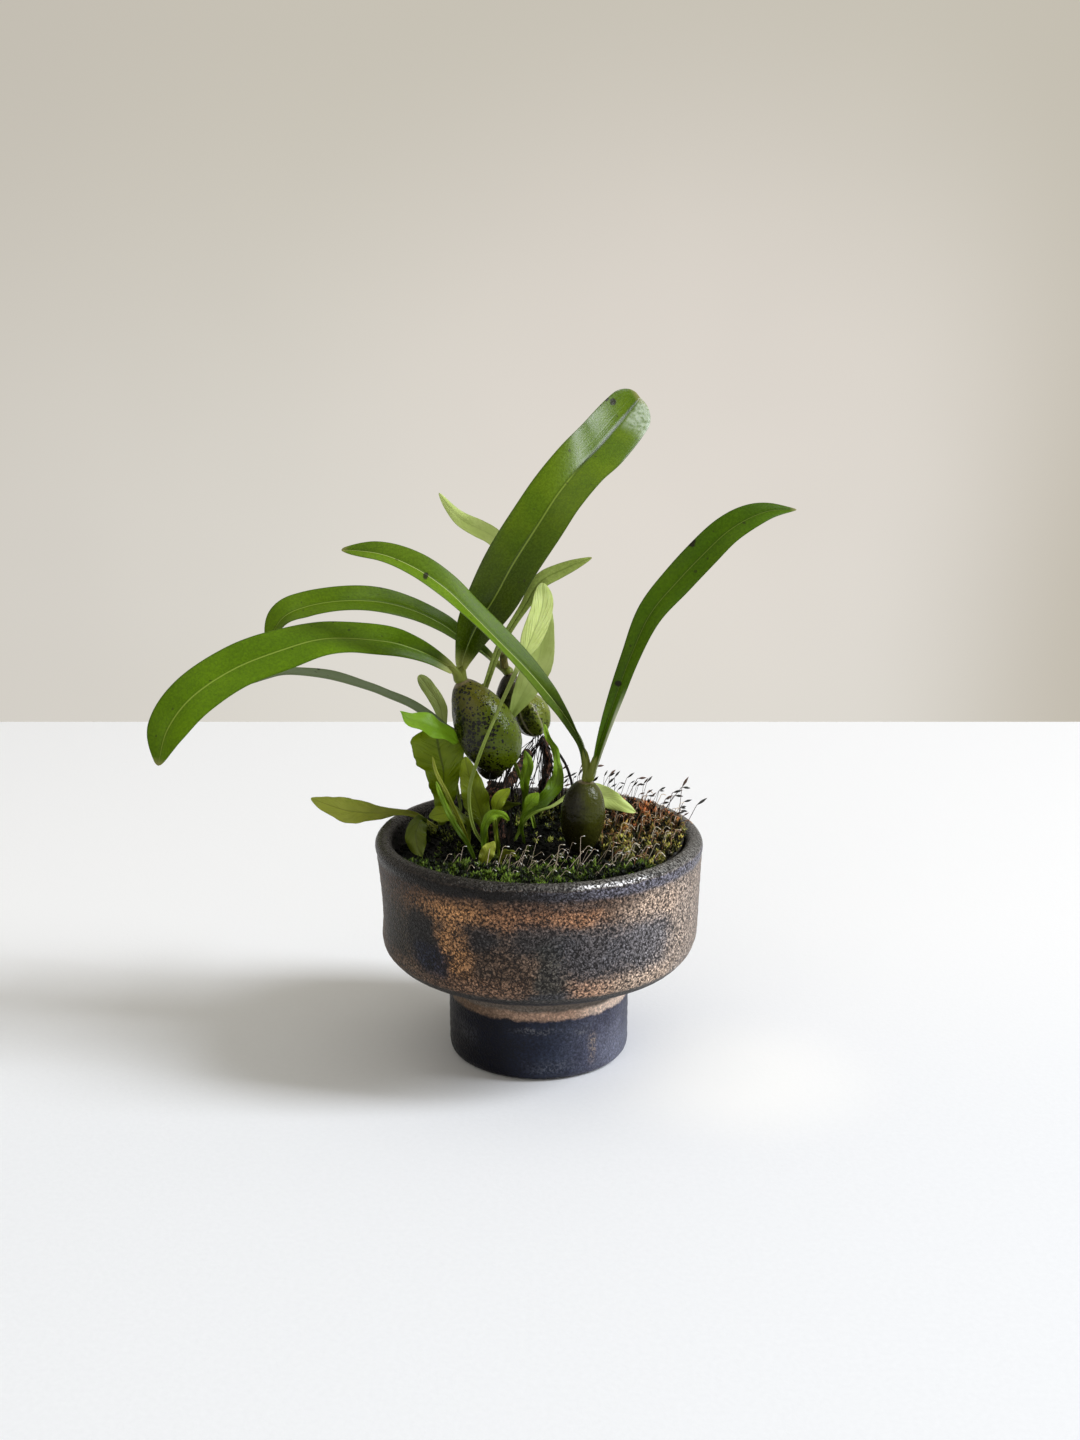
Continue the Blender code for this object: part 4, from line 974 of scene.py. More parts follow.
def crackle(t, f):
    """Dark crackle low on the left of the wall."""
    bent = t.vector("ADD", f.here, t.scaled(f.sway, 0.006))
    cells = t.node("ShaderNodeTexVoronoi", {"Vector": bent, "Scale": 330.0}, feature="DISTANCE_TO_EDGE")
    patch = glaze_patch(t, f, -20.0, 39.0, 22.0, 10.0, 0.5, swayed=False)
    return t.span(cells.outputs["Distance"], 0.08, 0.02) * patch * t.span(f.fine, 0.36, 0.56)


def stoneware_finish():
    """Reactive glaze: golden tan and iron brown, slate pools, navy foot, pebbled all over."""
    t, shader = finish("sandy_reactive_glaze", Specular_IOR_Level=0.15)
    f = pot_fields(t)
    wall = lip_colour(t, f, wall_colour(t, f))
    colour = t.blend(foot_colour(t, f), wall, t.span(f.height, 26.0, 28.6))
    # painted shade: a near-black line low on the wall, where the bowl turns under
    ledge_shade = t.span(f.height, 28.0, 29.5) * t.span(f.height, 31.4, 30.2)
    colour = t.blend(colour, (0.022, 0.02, 0.02), ledge_shade * 0.8)
    # painted shade and light: darker on the left, brighter towards the lit right, dimmer again at the far
    # right flank
    painted_side_light = t.span(f.turned, -48.0, 52.0, 0.6, 1.42) * t.span(f.turned, 60.0, 86.0, 1.0, 0.62)
    colour = t.blend(colour, t.shade(colour, painted_side_light), f.wall_mask)
    # grainy tone with pale dome tops, then dark pits between the domes, then the crackle
    tone = t.span(f.fine, 0.37, 0.63, 0.22, 1.85) * t.span(f.domes, 0.0, 1.0, 0.6, 1.15)
    mottling = (f.wall_mask * 0.6 + 0.4) * t.span(f.turned, 58.0, 84.0, 1.0, 0.5)
    colour = t.blend(colour, t.shade(colour, tone), mottling)
    pits = f.gaps * t.span(f.fine, 0.62, 0.36)
    colour = t.blend(colour, (0.016, 0.013, 0.013), pits * (f.wall_mask * 0.5 + 0.25))
    craze = crackle(t, f)
    colour = t.blend(colour, (0.014, 0.01, 0.01), craze * 0.85)
    rough = f.fine * 0.5 + 0.2 - t.span(f.height, 58.0, 61.0) * 0.16 - t.span(f.height, 24.0, 18.0) * 0.04
    relief = (f.domes * 0.6 + f.fine * 0.7) * (f.wall_mask * 0.7 + 0.3) - craze * 0.8
    paint(t, shader, colour, rough, relief, 0.00045, 0.9)


def soil_finish():
    """Nearly black potting mix; some crumbs are brown."""
    t, shader = finish("black_potting_mix", Specular_IOR_Level=0.08)
    grain = put(t, "grain", Vector=object_place(t), Scale=900.0, Cloud_Scale=300.0)
    brown = t.span(grain["Clouds"], 0.45, 0.75) * t.span(attribute(t, "tint"), 0.5, 1.0)
    colour = t.blend((0.0015, 0.0015, 0.001), (0.02, 0.013, 0.008), brown)
    colour = t.blend(colour, (0.12, 0.1, 0.08), t.span(grain["Fine"], 0.68, 0.76) * 0.25)
    paint(t, shader, colour, grain["Fine"] * 0.5 + 0.45, grain["Fine"], 0.0006, 0.7)


def moss_finish(name, base, tip, odd, odd_from, odd_to):
    """Shoots painted black at the base for the shade among them, bright at some tips; an odd colour comes in
    along one direction, in mm.
    """
    t, shader = finish(name, Specular_IOR_Level=0.2, Subsurface_Weight=0.1, Subsurface_Scale=0.0004,
                       Subsurface_Radius=(0.7, 1.0, 0.3))
    here = object_place(t)
    tint = attribute(t, "tint")
    clouds = t.noise(here, 190.0, 4.0, 0.6)
    lively = t.span(clouds, 0.42, 0.58, 0.04, 1.25) * t.span(tint, 0.35, 0.95, 0.02, 1.8)
    towards = t.vector("DOT_PRODUCT", here, (0.35, 0.94, 0.0))
    odd_spot = (tint - 0.5) * 0.02 + ((t.noise(here, 260.0, 2.0) - 0.5) * 0.05 + towards)
    shoot = t.blend(tip, odd, t.span(odd_spot, odd_from * MM, odd_to * MM))
    # painted shade: each shoot goes near black towards its base
    colour = t.blend(base, shoot, attribute(t, "rise") ** 1.4 * lively)
    paint(t, shader, colour, tint * 0.25 + 0.35, t.noise(here, 1800.0, 2.0), 0.0003, 0.4)


def stalk_finish(name, stalk, capsule, odd, roughness):
    """Moss spore stalk and its capsule; some of them in an odd colour. Some capsule and odd colours are
    painted highlights and painted shade.
    """
    t, shader = finish(name)
    tint = attribute(t, "tint")
    colour = t.blend(stalk, capsule, attribute(t, "head"))
    colour = t.blend(colour, odd, t.span(tint, 0.62, 0.8) * 0.85)
    paint(t, shader, colour, tint * 0.2 + (roughness - 0.1))


def bulb_dots(t, here, size):
    """1 on fine and large dots of the bulb's skin."""
    fine = put(t, "dots", Vector=here, Scale=1350.0, Size=size, Unevenness=0.9)["Dots"]
    large = put(t, "dots", Vector=here, Scale=760.0, Size=size * 0.85, Unevenness=1.0)["Dots"]
    return t.math("MAXIMUM", fine, large)


def bulb_finish(name, like, low, high, dusk, dot_size, dot_cover):
    """Olive skin of the bulb 'like': dotted, dusky on its shaded flank, browner towards the top."""
    t, shader = finish(name, Specular_IOR_Level=0.25)
    here = object_place(t)
    spot = t.separate(surface_map(t))
    grain = put(t, "grain", Vector=here, Scale=1300.0, Cloud_Scale=170.0)
    clouds = t.span(grain["Clouds"], 0.36, 0.64)
    # -1 to 1 from the left flank to the right one, with a cloudy edge
    top, bottom = Vector(BULBS[like]["top"]), Vector(BULBS[like]["bottom"])
    across = (top - bottom).normalized().cross(Vector((0, -1, 0))).normalized()
    from_middle = t.vector("SUBTRACT", here, tuple((top + bottom) / 2 * MM))
    flank = t.vector("DOT_PRODUCT", from_middle, tuple(across)) / (BULBS[like]["radius"] * MM)
    flank = (grain["Clouds"] - 0.5) * 0.9 + flank
    colour = t.blend(low, high, t.span(clouds * 0.25 + spot["Y"], 0.45, 1.05))
    colour = t.blend(colour, dusk, t.span(flank, 0.4, -0.6, 0.0, 0.9))
    dense = t.span(flank + clouds * 0.7, 1.1, -0.4, 0.7, 1.8)
    marks = bulb_dots(t, here, dense * dot_size) * dot_cover
    colour = t.blend(colour, (0.004, 0.004, 0.001), marks)
    ribs = BULBS[like].get("ribs")
    if ribs:
        seams = t.span(t.math("COSINE", spot["X"] * (math.tau * ribs)), -0.9, -1.0)
        colour = t.blend(colour, (0.45, 0.38, 0.26), seams * 0.35)
    collar = t.span(spot["Y"], 0.9, 0.93) * t.span(spot["Y"], 0.965, 0.95)
    colour = t.blend(colour, (0.26, 0.2, 0.12), collar * 0.6)
    wrinkles = t.noise(t.combine(spot["X"] * 60.0, spot["Y"] * 6.0, 0.0), 1.0, 3.0)
    relief = t.noise(here, 900.0, 2.0) * 0.9 + wrinkles * 0.4 - marks * 0.1
    paint(t, shader, colour, grain["Fine"] * 0.24 + 0.1, relief, 0.0004, 0.7)


def leaf_scars(t, here, colour, spots):
    """Dark ragged scars; each spot is (x, y, z, radius) in mm."""
    for x, y, z, size in spots:
        flat = t.vector("MULTIPLY", here, (1.0, 0.1, 1.0))
        away = t.vector("DISTANCE", flat, (x * MM, y * 0.1 * MM, z * MM))
        ragged = t.noise(here, 900.0, 2.0) * (size * MM * 0.9) + away
        scar = t.span(ragged, size * 1.45 * MM, size * 1.05 * MM)
        colour = t.blend(colour, (0.012, 0.008, 0.004), scar * 0.92)
    return colour


def leaf_finish(name, shade, light, roughness, underside=(0.17, 0.22, 0.1), midrib=(0.22, 0.3, 0.04),
                halves=(1.0, 1.0), dusk=None, crease=None, rib=0.8, beside_rib=0.5, sheath=0.0, bloom=False,
                gloss=0.12, spots=()):
    """Leathery orchid leaf: fine veins, a pale midrib beside darker strips, paler below.

    'halves' are the tones left and right of the midrib: painted shade on one half, painted light on the
    other.
    'dusk' darkens the stalk end: a tone, and the two places along the blade between which it fades. Beyond
    'crease' the midrib is a dark line, painted shade in the fold.
    """
    t, shader = finish(name, Specular_IOR_Level=gloss, Subsurface_Weight=0.03, Subsurface_Scale=0.0008,
                       Subsurface_Radius=(0.6, 1.0, 0.1))
    here = object_place(t)
    across_along = surface_map(t)
    spot = t.separate(across_along)
    lines = put(t, "blade_lines", Map=across_along, Vein_Count=34.0, Seed=1.0)
    wide = put(t, "blade_lines", Map=across_along, Midrib_Width=0.06, Margin_Width=0.05)
    grain = put(t, "grain", Vector=here, Scale=1500.0, Cloud_Scale=85.0)
    clouds = t.span(grain["Clouds"], 0.34, 0.66)
    colour = t.blend(shade, light, lines["Veins"] * 0.5 + clouds * 0.5)
    # painted shade and light: one half of the blade darker than the other, for the half turned from the light
    side = t.span(spot["X"], 0.47, 0.53, *halves)
    if dusk:
        side = side * t.span(spot["Y"], dusk[1], dusk[2], dusk[0], 1.0)
    colour = t.shade(colour, side * t.span(grain["Fine"], 0.3, 0.7, 0.86, 1.14))
    colour = t.blend(colour, darkened(shade, 0.45), wide["Midrib"] * beside_rib)
    # painted shade: beyond 'crease' the pale midrib turns to a dark line in the fold
    if crease:
        dark = t.span(spot["Y"], crease - 0.06, crease + 0.04)
        colour = t.blend(colour, midrib, lines["Midrib"] * ((1.0 - dark) * rib))
        colour = t.blend(colour, darkened(shade, 0.25), lines["Midrib"] * (dark * 0.8))
    else:
        colour = t.blend(colour, midrib, lines["Midrib"] * rib)
    colour = t.blend(colour, darkened(shade, 0.3), wide["Margin"] * 0.45)
    below = t.blend(underside, darkened(underside, 0.8), lines["Veins"])
    below = t.blend(below, darkened(underside, 0.5), lines["Midrib"] * 0.7)
    colour = t.blend(colour, below, attribute(t, "underside"))
    colour = t.blend(colour, (0.33, 0.36, 0.1), t.span(spot["Y"], 0.07, 0.0))
    if sheath:
        strip = t.span(spot["X"], 0.74, 0.84) * t.span(spot["Y"], sheath, sheath * 0.6)
        colour = t.blend(colour, (0.42, 0.46, 0.3), strip * 0.9)
    colour = t.blend(colour, (0.3, 0.27, 0.1), t.span(spot["Y"], 0.975, 1.0) * 0.7)
    if bloom:
        # painted highlight: a pale patch near the tip, on the right-hand half, where the window's sheen falls
        sheen_patch = t.span(spot["X"], 0.53, 0.6) * t.span(spot["Y"], 0.86, 0.93)
        sheen_patch = sheen_patch * t.span(t.noise(here, 800.0, 3.0, 0.6), 0.3, 0.62, 0.25, 1.0)
        colour = t.blend(colour, (0.5, 0.57, 0.44), sheen_patch * 0.7)
    freckles = put(t, "dots", Vector=here, Scale=300.0, Size=0.09, Unevenness=1.0)["Dots"]
    colour = t.blend(colour, (0.02, 0.02, 0.005), freckles * 0.6)
    colour = leaf_scars(t, here, colour, spots)
    rough = grain["Fine"] * 0.2 + (roughness - 0.1) + attribute(t, "underside") * 0.15
    paint(t, shader, colour, rough, lines["Veins"] * 0.5 + grain["Fine"] * 0.35, 0.00018, 0.5)


def frond_finish(name, low, high, change=(0.3, 0.8), vein=0.35, glow=0.1):
    """Thin fern blade: soft, with a dark midrib and faint side veins; 'high' comes in over 'change'."""
    t, shader = finish(name, Specular_IOR_Level=0.25, Subsurface_Weight=glow, Subsurface_Scale=0.0005,
                       Subsurface_Radius=(0.7, 1.0, 0.12))
    across_along = surface_map(t)
    along_blade = t.separate(across_along)["Y"]
    lines = put(t, "blade_lines", Map=across_along, Midrib_Width=0.035, Margin_Width=0.05, Vein_Count=9.0,
                Seed=3.0)
    grain = put(t, "grain", Vector=object_place(t), Scale=900.0, Cloud_Scale=170.0)
    colour = t.blend(low, high, t.span(along_blade, *change))
    darker = t.shade(colour, (0.68, 0.72, 0.5))
    colour = t.blend(darker, colour, t.span(grain["Clouds"], 0.34, 0.66) * 0.6 + 0.4)
    colour = t.blend(colour, darker, lines["Side Veins"] * (vein * 0.6))
    colour = t.blend(colour, darkened(low, 0.3), lines["Midrib"] * vein)
    colour = t.blend(colour, darkened(high, 0.4), lines["Margin"] * 0.4)
    relief = lines["Side Veins"] + lines["Veins"] * 0.8
    paint(t, shader, colour, grain["Fine"] * 0.25 + 0.28, relief, 0.00025 if vein > 0.2 else 0.00005, 0.5)


def bark_finish(name, dark, light):
    """Fibrous bark or root: streaks along Z."""
    t, shader = finish(name, Specular_IOR_Level=0.25)
    drawn_out = t.node("ShaderNodeMapping", {"Vector": object_place(t), "Scale": (1.0, 1.0, 0.25)})
    streaks = t.noise(drawn_out.outputs[0], 1500.0, 4.0, 0.65)
    colour = t.blend(dark, light, t.span(streaks, 0.45, 0.7))
    paint(t, shader, colour, streaks * 0.4 + 0.45, streaks, 0.0008, 0.8)


# Rows of the tables below are the arguments of their maker, by the name of the finish.
MOSS_FINISHES = {
    "moss_green": ((0.001, 0.002, 0.0), (0.155, 0.27, 0.022), (0.44, 0.46, 0.07), -4, 26),
    "moss_rust": ((0.004, 0.003, 0.001), (0.85, 0.8, 0.14), (0.95, 0.27, 0.08), 8, 34),
    "moss_olive": ((0.003, 0.004, 0.001), (0.32, 0.38, 0.05), (0.45, 0.22, 0.07), 20, 60),
}
# painted highlights: stalk_pale's near-white capsule and stalk_rust's pale odd colour; painted shade:
# stalk_dark's near-black capsule, seen against the light
STALK_FINISHES = {
    "stalk_pale": ((0.74, 0.6, 0.47), (0.99, 0.98, 0.95), (0.7, 0.58, 0.4), 0.3),
    "stalk_rust": ((0.38, 0.17, 0.08), (0.62, 0.42, 0.25), (0.95, 0.88, 0.72), 0.35),
    "stalk_dark": ((0.05, 0.03, 0.02), (0.012, 0.013, 0.009), (0.1, 0.04, 0.02), 0.5),
}
BULB_FINISHES = {
    "bulb_dotted": (
        "bulb_left", (0.085, 0.125, 0.002), (0.105, 0.098, 0.006), (0.03, 0.033, 0.003), 0.3, 1.0),
    "bulb_plain": (
        "bulb_right", (0.036, 0.038, 0.006), (0.05, 0.056, 0.003), (0.008, 0.006, 0.001), 0.24, 0.35),
    "bulb_dark": (
        "bulb_back_dark", (0.035, 0.04, 0.006), (0.05, 0.035, 0.01), (0.01, 0.008, 0.003), 0.3, 0.6),
    "bulb_old": (
        "bulb_back_old", (0.13, 0.17, 0.012), (0.2, 0.22, 0.035), (0.06, 0.07, 0.01), 0.32, 0.8),
}
BARK_FINISHES = {
    "fibrous_bark": ((0.01, 0.006, 0.004), (0.24, 0.105, 0.058)),
    "black_root": ((0.005, 0.004, 0.003), (0.035, 0.022, 0.015)),
    "old_stem": ((0.07, 0.07, 0.01), (0.17, 0.14, 0.03)),
}
LEAF_FINISHES = {
    "leaf_broad": dict(
        shade=(0.062, 0.118, 0.0), light=(0.108, 0.172, 0.001), roughness=0.27, halves=(0.98, 1.0),
        dusk=(0.42, 0.15, 0.62), crease=0.66, bloom=True, gloss=0.2,
        spots=((21.0, 33.0, 181.2, 1.2), (19.1, 35, 182.2, 0.9))),
    "leaf_long": dict(
        shade=(0.06, 0.12, 0.0), light=(0.096, 0.178, 0.001), roughness=0.34, halves=(1.12, 1.02),
        dusk=(0.5, 0.04, 0.25), rib=0.95, beside_rib=0.2),
    "leaf_arching": dict(
        shade=(0.06, 0.115, 0.0), light=(0.095, 0.165, 0.001), roughness=0.38, dusk=(0.4, 0.05, 0.5)),
    "leaf_dull": dict(
        shade=(0.06, 0.09, 0.012), light=(0.1, 0.14, 0.025), roughness=0.42, spots=((-63.6, 24, 106, 0.6),)),
    "leaf_sunlit": dict(
        shade=(0.19, 0.25, 0.04), light=(0.3, 0.37, 0.09), roughness=0.42, underside=(0.27, 0.33, 0.08)),
    "leaf_crossing": dict(
        shade=(0.065, 0.125, 0.002), light=(0.105, 0.175, 0.006), roughness=0.4, midrib=(0.36, 0.44, 0.12),
        halves=(1.3, 1.0), dusk=(0.4, 0.1, 0.62), rib=1.0, gloss=0.13, spots=((-29.9, -10, 139.2, 0.9),)),
    "leaf_right": dict(
        shade=(0.036, 0.082, 0.0), light=(0.056, 0.108, 0.0), roughness=0.36, halves=(1.05, 1.3), rib=0.45,
        sheath=0.28, spots=((41.3, -1, 146.1, 1.5), (21.6, -5, 108.6, 1.1))),
}
FROND_FINISHES = {
    "neck_pale": dict(low=(0.2, 0.23, 0.03), high=(0.27, 0.32, 0.05), vein=0.0),
    # partly painted light: the pale upper green is the frond's own lime, brightened for light shining through
    # the blade
    "frond_lime": dict(
        low=(0.2, 0.3, 0.03), high=(0.62, 0.74, 0.24), change=(0.22, 0.5), vein=0.12, glow=0.0),
    # painted light: the broad frond's side lobe is a much brighter green than the frond, where light falls on
    # it
    "frond_flap": dict(low=(0.26, 0.5, 0.02), high=(0.3, 0.56, 0.03), vein=0.1),
    "frond_pale_green": dict(low=(0.24, 0.31, 0.06), high=(0.62, 0.72, 0.26), change=(0.5, 0.8)),
    # painted light: paler than the frond's own green, standing for light shining through the blade
    "frond_broad": dict(low=(0.165, 0.24, 0.001), high=(0.2, 0.28, 0.003), vein=0.7),
    "frond_olive": dict(low=(0.11, 0.15, 0.003), high=(0.2, 0.26, 0.008)),
    "frond_tan_green": dict(low=(0.18, 0.2, 0.01), high=(0.36, 0.4, 0.05)),
    "frond_dark": dict(low=(0.04, 0.06, 0.002), high=(0.105, 0.135, 0.006)),
    "frond_fresh": dict(low=(0.075, 0.14, 0.002), high=(0.2, 0.34, 0.012)),
}


def all_finishes():
    stoneware_finish()
    soil_finish()
    for make, table in ((moss_finish, MOSS_FINISHES), (stalk_finish, STALK_FINISHES),
                        (bulb_finish, BULB_FINISHES), (bark_finish, BARK_FINISHES)):
        for name, row in table.items():
            make(name, *row)
    for make, table in ((leaf_finish, LEAF_FINISHES), (frond_finish, FROND_FINISHES)):
        for name, row in table.items():
            make(name, **row)


# ================================================================ pieces

def place(piece, nodes):
    """Ride the one body and stand for the model's nodes."""
    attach(piece, "root")
    if nodes:
        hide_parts(*nodes)


def inner_radius(z):
    base = FLOOR_HEIGHT + FLOOR_CURVE
    if z >= base:
        return WALL_FOOT[0] - WALL + (RIM_RADIUS - WALL_FOOT[0]) * (z - base) / (RIM_HEIGHT - base)
    return (WALL_FOOT[0] - WALL) * math.sqrt(max(0.0, 1 - ((base - z) / (base - FLOOR_HEIGHT)) ** 2))


def bowl_inside(clearance, top):
    """Inside of the bowl from the floor to a height, pulled in by a clearance."""
    count = 16
    base = FLOOR_HEIGHT + FLOOR_CURVE
    points = []
    for i in range(count):
        angle = math.radians(90 * i / count)
        points.append((max(0.0, (WALL_FOOT[0] - WALL - clearance) * math.sin(angle)),
                       base - (base - FLOOR_HEIGHT - clearance) * math.cos(angle)))
    points.append((inner_radius(base) - clearance, base))
    points.append((inner_radius(top) - clearance, top))
    return points


def profile_object(profile, name):
    """Object of a profile of (radius, height) in mm, ready for the turning tree."""
    return new_object(name, line_mesh([(r * MM, 0.0, z * MM) for r, z in profile], name))


def pot():
    profile = bowl_inside(0.0, RIM_HEIGHT - LIP - 2)
    profile += arc((RIM_RADIUS - LIP, RIM_HEIGHT - LIP), LIP, 170, -8, 14)
    profile += [*WALL_LINE, WALL_FOOT]
    profile += quadratic(WALL_FOOT, CORNER, UNDERSIDE[1], 12)
    profile.append(UNDERSIDE[0])
    profile += quadratic(UNDERSIDE[0], COVE, (FOOT_RADIUS, FOOT_TOP), 8)
    profile += arc((FOOT_RADIUS - FOOT_ROUND, FOOT_ROUND), FOOT_ROUND, 0, -90, 6)
    profile.append((0.0, 0.0))
    obj = profile_object(profile, "pot_glazed")
    grown(obj, "turned", Segments=200, Rows=220, Wobble=0.0006, Wobble_Scale=22.0, Ring_Height=0.00004,
          Ring_Pitch=0.0032, Wrinkle=0.00025, Wrinkle_Scale=900.0, Material=FINISHES["sandy_reactive_glaze"])
    low, high = PRESSED
    low_fade, high_fade = 8, 18
    for vert in obj.data.vertices:
        x, y, z = (c / MM for c in vert.co)
        # the potter's hand pressed the left side in a little, low on the wall
        if x < 0 and low < z < high and math.hypot(x, y) > PRESSED_BEYOND:
            level = math.sin(math.pi * min(1.0, (z - low) / low_fade, (high - z) / high_fade) / 2)
            vert.co.x += PRESSED_DEPTH * level * (x / RIM_RADIUS) ** 2 * MM
        vert.co.z = max(vert.co.z, 0.0)
    place(outward(obj), ["pot"])


def ground(x, y):
    """Height of the potting mix's surface, in millimetres."""
    waves = 0.7 * math.sin(0.17 * x + 1.0) * math.cos(0.14 * y) + 0.4 * math.sin(0.11 * (x - y))
    return GROUND + GROUND_TILT * x + waves


def soil_height(x, y):
    """The mix as it looks, lumpy."""
    spot = Vector((x, y, 0.0))
    return ground(x, y) + 0.6 + 0.9 * noise.noise(spot * 0.16) + 0.5 * noise.noise(spot * 0.5)


def lump(name, seed, sizes):
    """A bent icosphere: chip of bark or a crumb."""
    rough = 0.35
    bm = bmesh.new()
    bmesh.ops.create_icosphere(bm, subdivisions=1, radius=0.5 * MM)
    shake = random.Random(seed)
    for vert in bm.verts:
        push = 1 + shake.uniform(-rough, rough)
        vert.co = Vector((vert.co.x * sizes[0], vert.co.y * sizes[1], vert.co.z * sizes[2])) * push
    return outward(bpy.data.objects.new(name, mesh_from(bm, name)))


def collection_of(name, objects):
    found = bpy.data.collections.new(name)
    for obj in objects:
        found.objects.link(obj)
    return found


def drop(collection):
    for obj in list(collection.objects):
        bpy.data.objects.remove(obj, do_unlink=True)
    bpy.data.collections.remove(collection)


def potting_mix():
    top = [(inner_radius(GROUND) * f, GROUND) for f in (0.0, 0.5, 0.985)]
    obj = profile_object(top + bowl_inside(GAP, GROUND - 3)[::-1], "potting_mix_crumbly")
    soil = FINISHES["black_potting_mix"]
    grown(obj, "turned", Segments=120, Rows=110, Material=soil)
    for vert in obj.data.vertices:
        if vert.co.z > (GROUND - 1) * MM:
            vert.co.z = soil_height(vert.co.x / MM, vert.co.y / MM) * MM
    outward(obj)
    crumbs = collection_of("crumbs", [
        lump(f"crumb_{i}", i + 1, sizes) for i, sizes in enumerate(CRUMB_SIZES)])
    grown(obj, "scatter", Spacing=0.0013, Density=9e5, Smallest=0.5, Largest=1.25, Tilt=0.7, Sink=0.0001,
          Seed=4, Pieces=crumbs, Material=soil)
    drop(crumbs)
    place(obj, ["potting_mix"])


def moss_shoot(name, seed, leaves, height, spread):
    """One shoot: thin four-sided leaves round a point; 'rise' is 0 at their base and 1 at the tip."""
    shake = random.Random(seed)
    bm = bmesh.new()
    rise = bm.verts.layers.float.new("rise")
    for i in range(leaves):
        level = i / (leaves - 1)
        turn = i * 2.4 + shake.uniform(-0.3, 0.3)
        lean = spread * (1.15 - 0.75 * level) * shake.uniform(0.8, 1.2)
        low = Vector((0, 0, height * 0.45 * level))
        out = Vector((math.cos(turn), math.sin(turn), 0))
        long = height * shake.uniform(0.55, 0.8)
        tip = low + (out * math.sin(lean) + Vector((0, 0, 1)) * math.cos(lean)) * long
        wide = Vector((-out.y, out.x, 0)) * height * 0.14
        middle = low.lerp(tip, 0.4)
        back = middle - out.cross(wide).normalized() * height * 0.03
        corners = [low, middle + wide, middle - wide, tip, back]
        a, b, c, d, e = verts = [bm.verts.new(corner * MM) for corner in corners]
        for vert, value in zip(verts, (0.0, 0.5, 0.5, 1.0, 0.35)):
            vert[rise] = value
        for face in ((a, c, b), (b, c, d), (a, b, e), (b, d, e), (d, c, e), (c, a, e)):
            bm.faces.new(face)
    bmesh.ops.recalc_face_normals(bm, faces=bm.faces)
    return bpy.data.objects.new(name, mesh_from(bm, name))


def pad_layer(bm, level, columns, rows, start, end, inner, outer, thick, mound):
    """Grid of points between two azimuths and two radii: the underside (level 0) or the top (level 1)."""
    grid = []
    for i in range(columns + 1):
        along = i / columns
        angle = math.radians(start + (end - start) * along)
        near = outer - (outer - inner) * (0.35 + 0.65 * math.sin(math.pi * along) ** 0.7)
        row = []
        for j in range(rows + 1):
            across = j / rows
            ragged = 1.6 * noise.noise(Vector((angle * 9, across * 3, start)))
            radius = near + (outer - near) * across + ragged * (1 - across)
            x, y = radius * math.cos(angle), radius * math.sin(angle)
            edge = min(1.0, 5 * min(along, 1 - along), 3.5 * across + 0.02)
            height = soil_height(x, y) - 0.5
            if level:
                swell = noise.noise(Vector((x, y, start)) * 0.28)
                height += 0.35 + (thick + mound * across + 0.9 * swell) * math.sqrt(edge)
            row.append(bm.verts.new(Vector((x, y, height)) * MM))
        grid.append(row)
    return grid


def moss_pad(name, *shape, columns=70, rows=16):
    """Closed bed under the shoots; shape is (start, end, inner, outer, thick, mound), thin at its edges."""
    bm = bmesh.new()
    low, high = [pad_layer(bm, level, columns, rows, *shape) for level in (0, 1)]
    for i in range(columns):
        for j in range(rows):
            bm.faces.new((high[i][j], high[i][j + 1], high[i + 1][j + 1], high[i + 1][j]))
            bm.faces.new((low[i][j], low[i + 1][j], low[i + 1][j + 1], low[i][j + 1]))
    rim = [(i, 0) for i in range(columns)] + [(columns, j) for j in range(rows)]
    rim += [(i, rows) for i in range(columns, 0, -1)] + [(0, j) for j in range(rows, 0, -1)]
    for (a, b), (c, d) in zip(rim, rim[1:] + rim[:1]):
        bm.faces.new((low[a][b], low[c][d], high[c][d], high[a][b]))
    bmesh.ops.recalc_face_normals(bm, faces=bm.faces)
    return new_object(name, mesh_from(bm, name))


def spore_stalk(name, seed, height, hook, head, nod, thick, plump, leaning=(0.12, 0.4)):
    """Spore stalk leaning to +X, its capsule nodding by four turns; 'head' is 1 on the capsule."""
    shake = random.Random(seed)
    bm = bmesh.new()
    mark = bm.verts.layers.float.new("head")
    lean = shake.uniform(*leaning)
    bend = shake.uniform(-0.12, 0.12)
    steps = 7
    path = []
    for i in range(steps + 1):
        f = i / steps
        path.append(Vector((height * (lean * f + 0.15 * lean * f * f), height * bend * f * f, height * f)))
    centre = path[-1] + Vector((hook, 0, 0))
    for i in range(1, 5):
        turn = math.pi - i * math.radians(shake.uniform(nod - 4, nod + 4))
        path.append(centre + Vector((math.cos(turn), bend * 0.2 * i, math.sin(turn))) * hook)
    tube(bm, [p * MM for p in path], [thick * MM] * len(path), 3)
    stalk_verts = len(bm.verts)
    ahead = (path[-1] - path[-2]).normalized()
    body = [(path[-1] + ahead * head * i / 5) * MM for i in range(6)]
    tube(bm, body, [r * plump * MM for r in CAPSULE_RADII], 5)
    for i, vert in enumerate(bm.verts):
        vert[mark] = float(i >= stalk_verts)
    bmesh.ops.recalc_face_normals(bm, faces=bm.faces)
    return bpy.data.objects.new(name, mesh_from(bm, name))


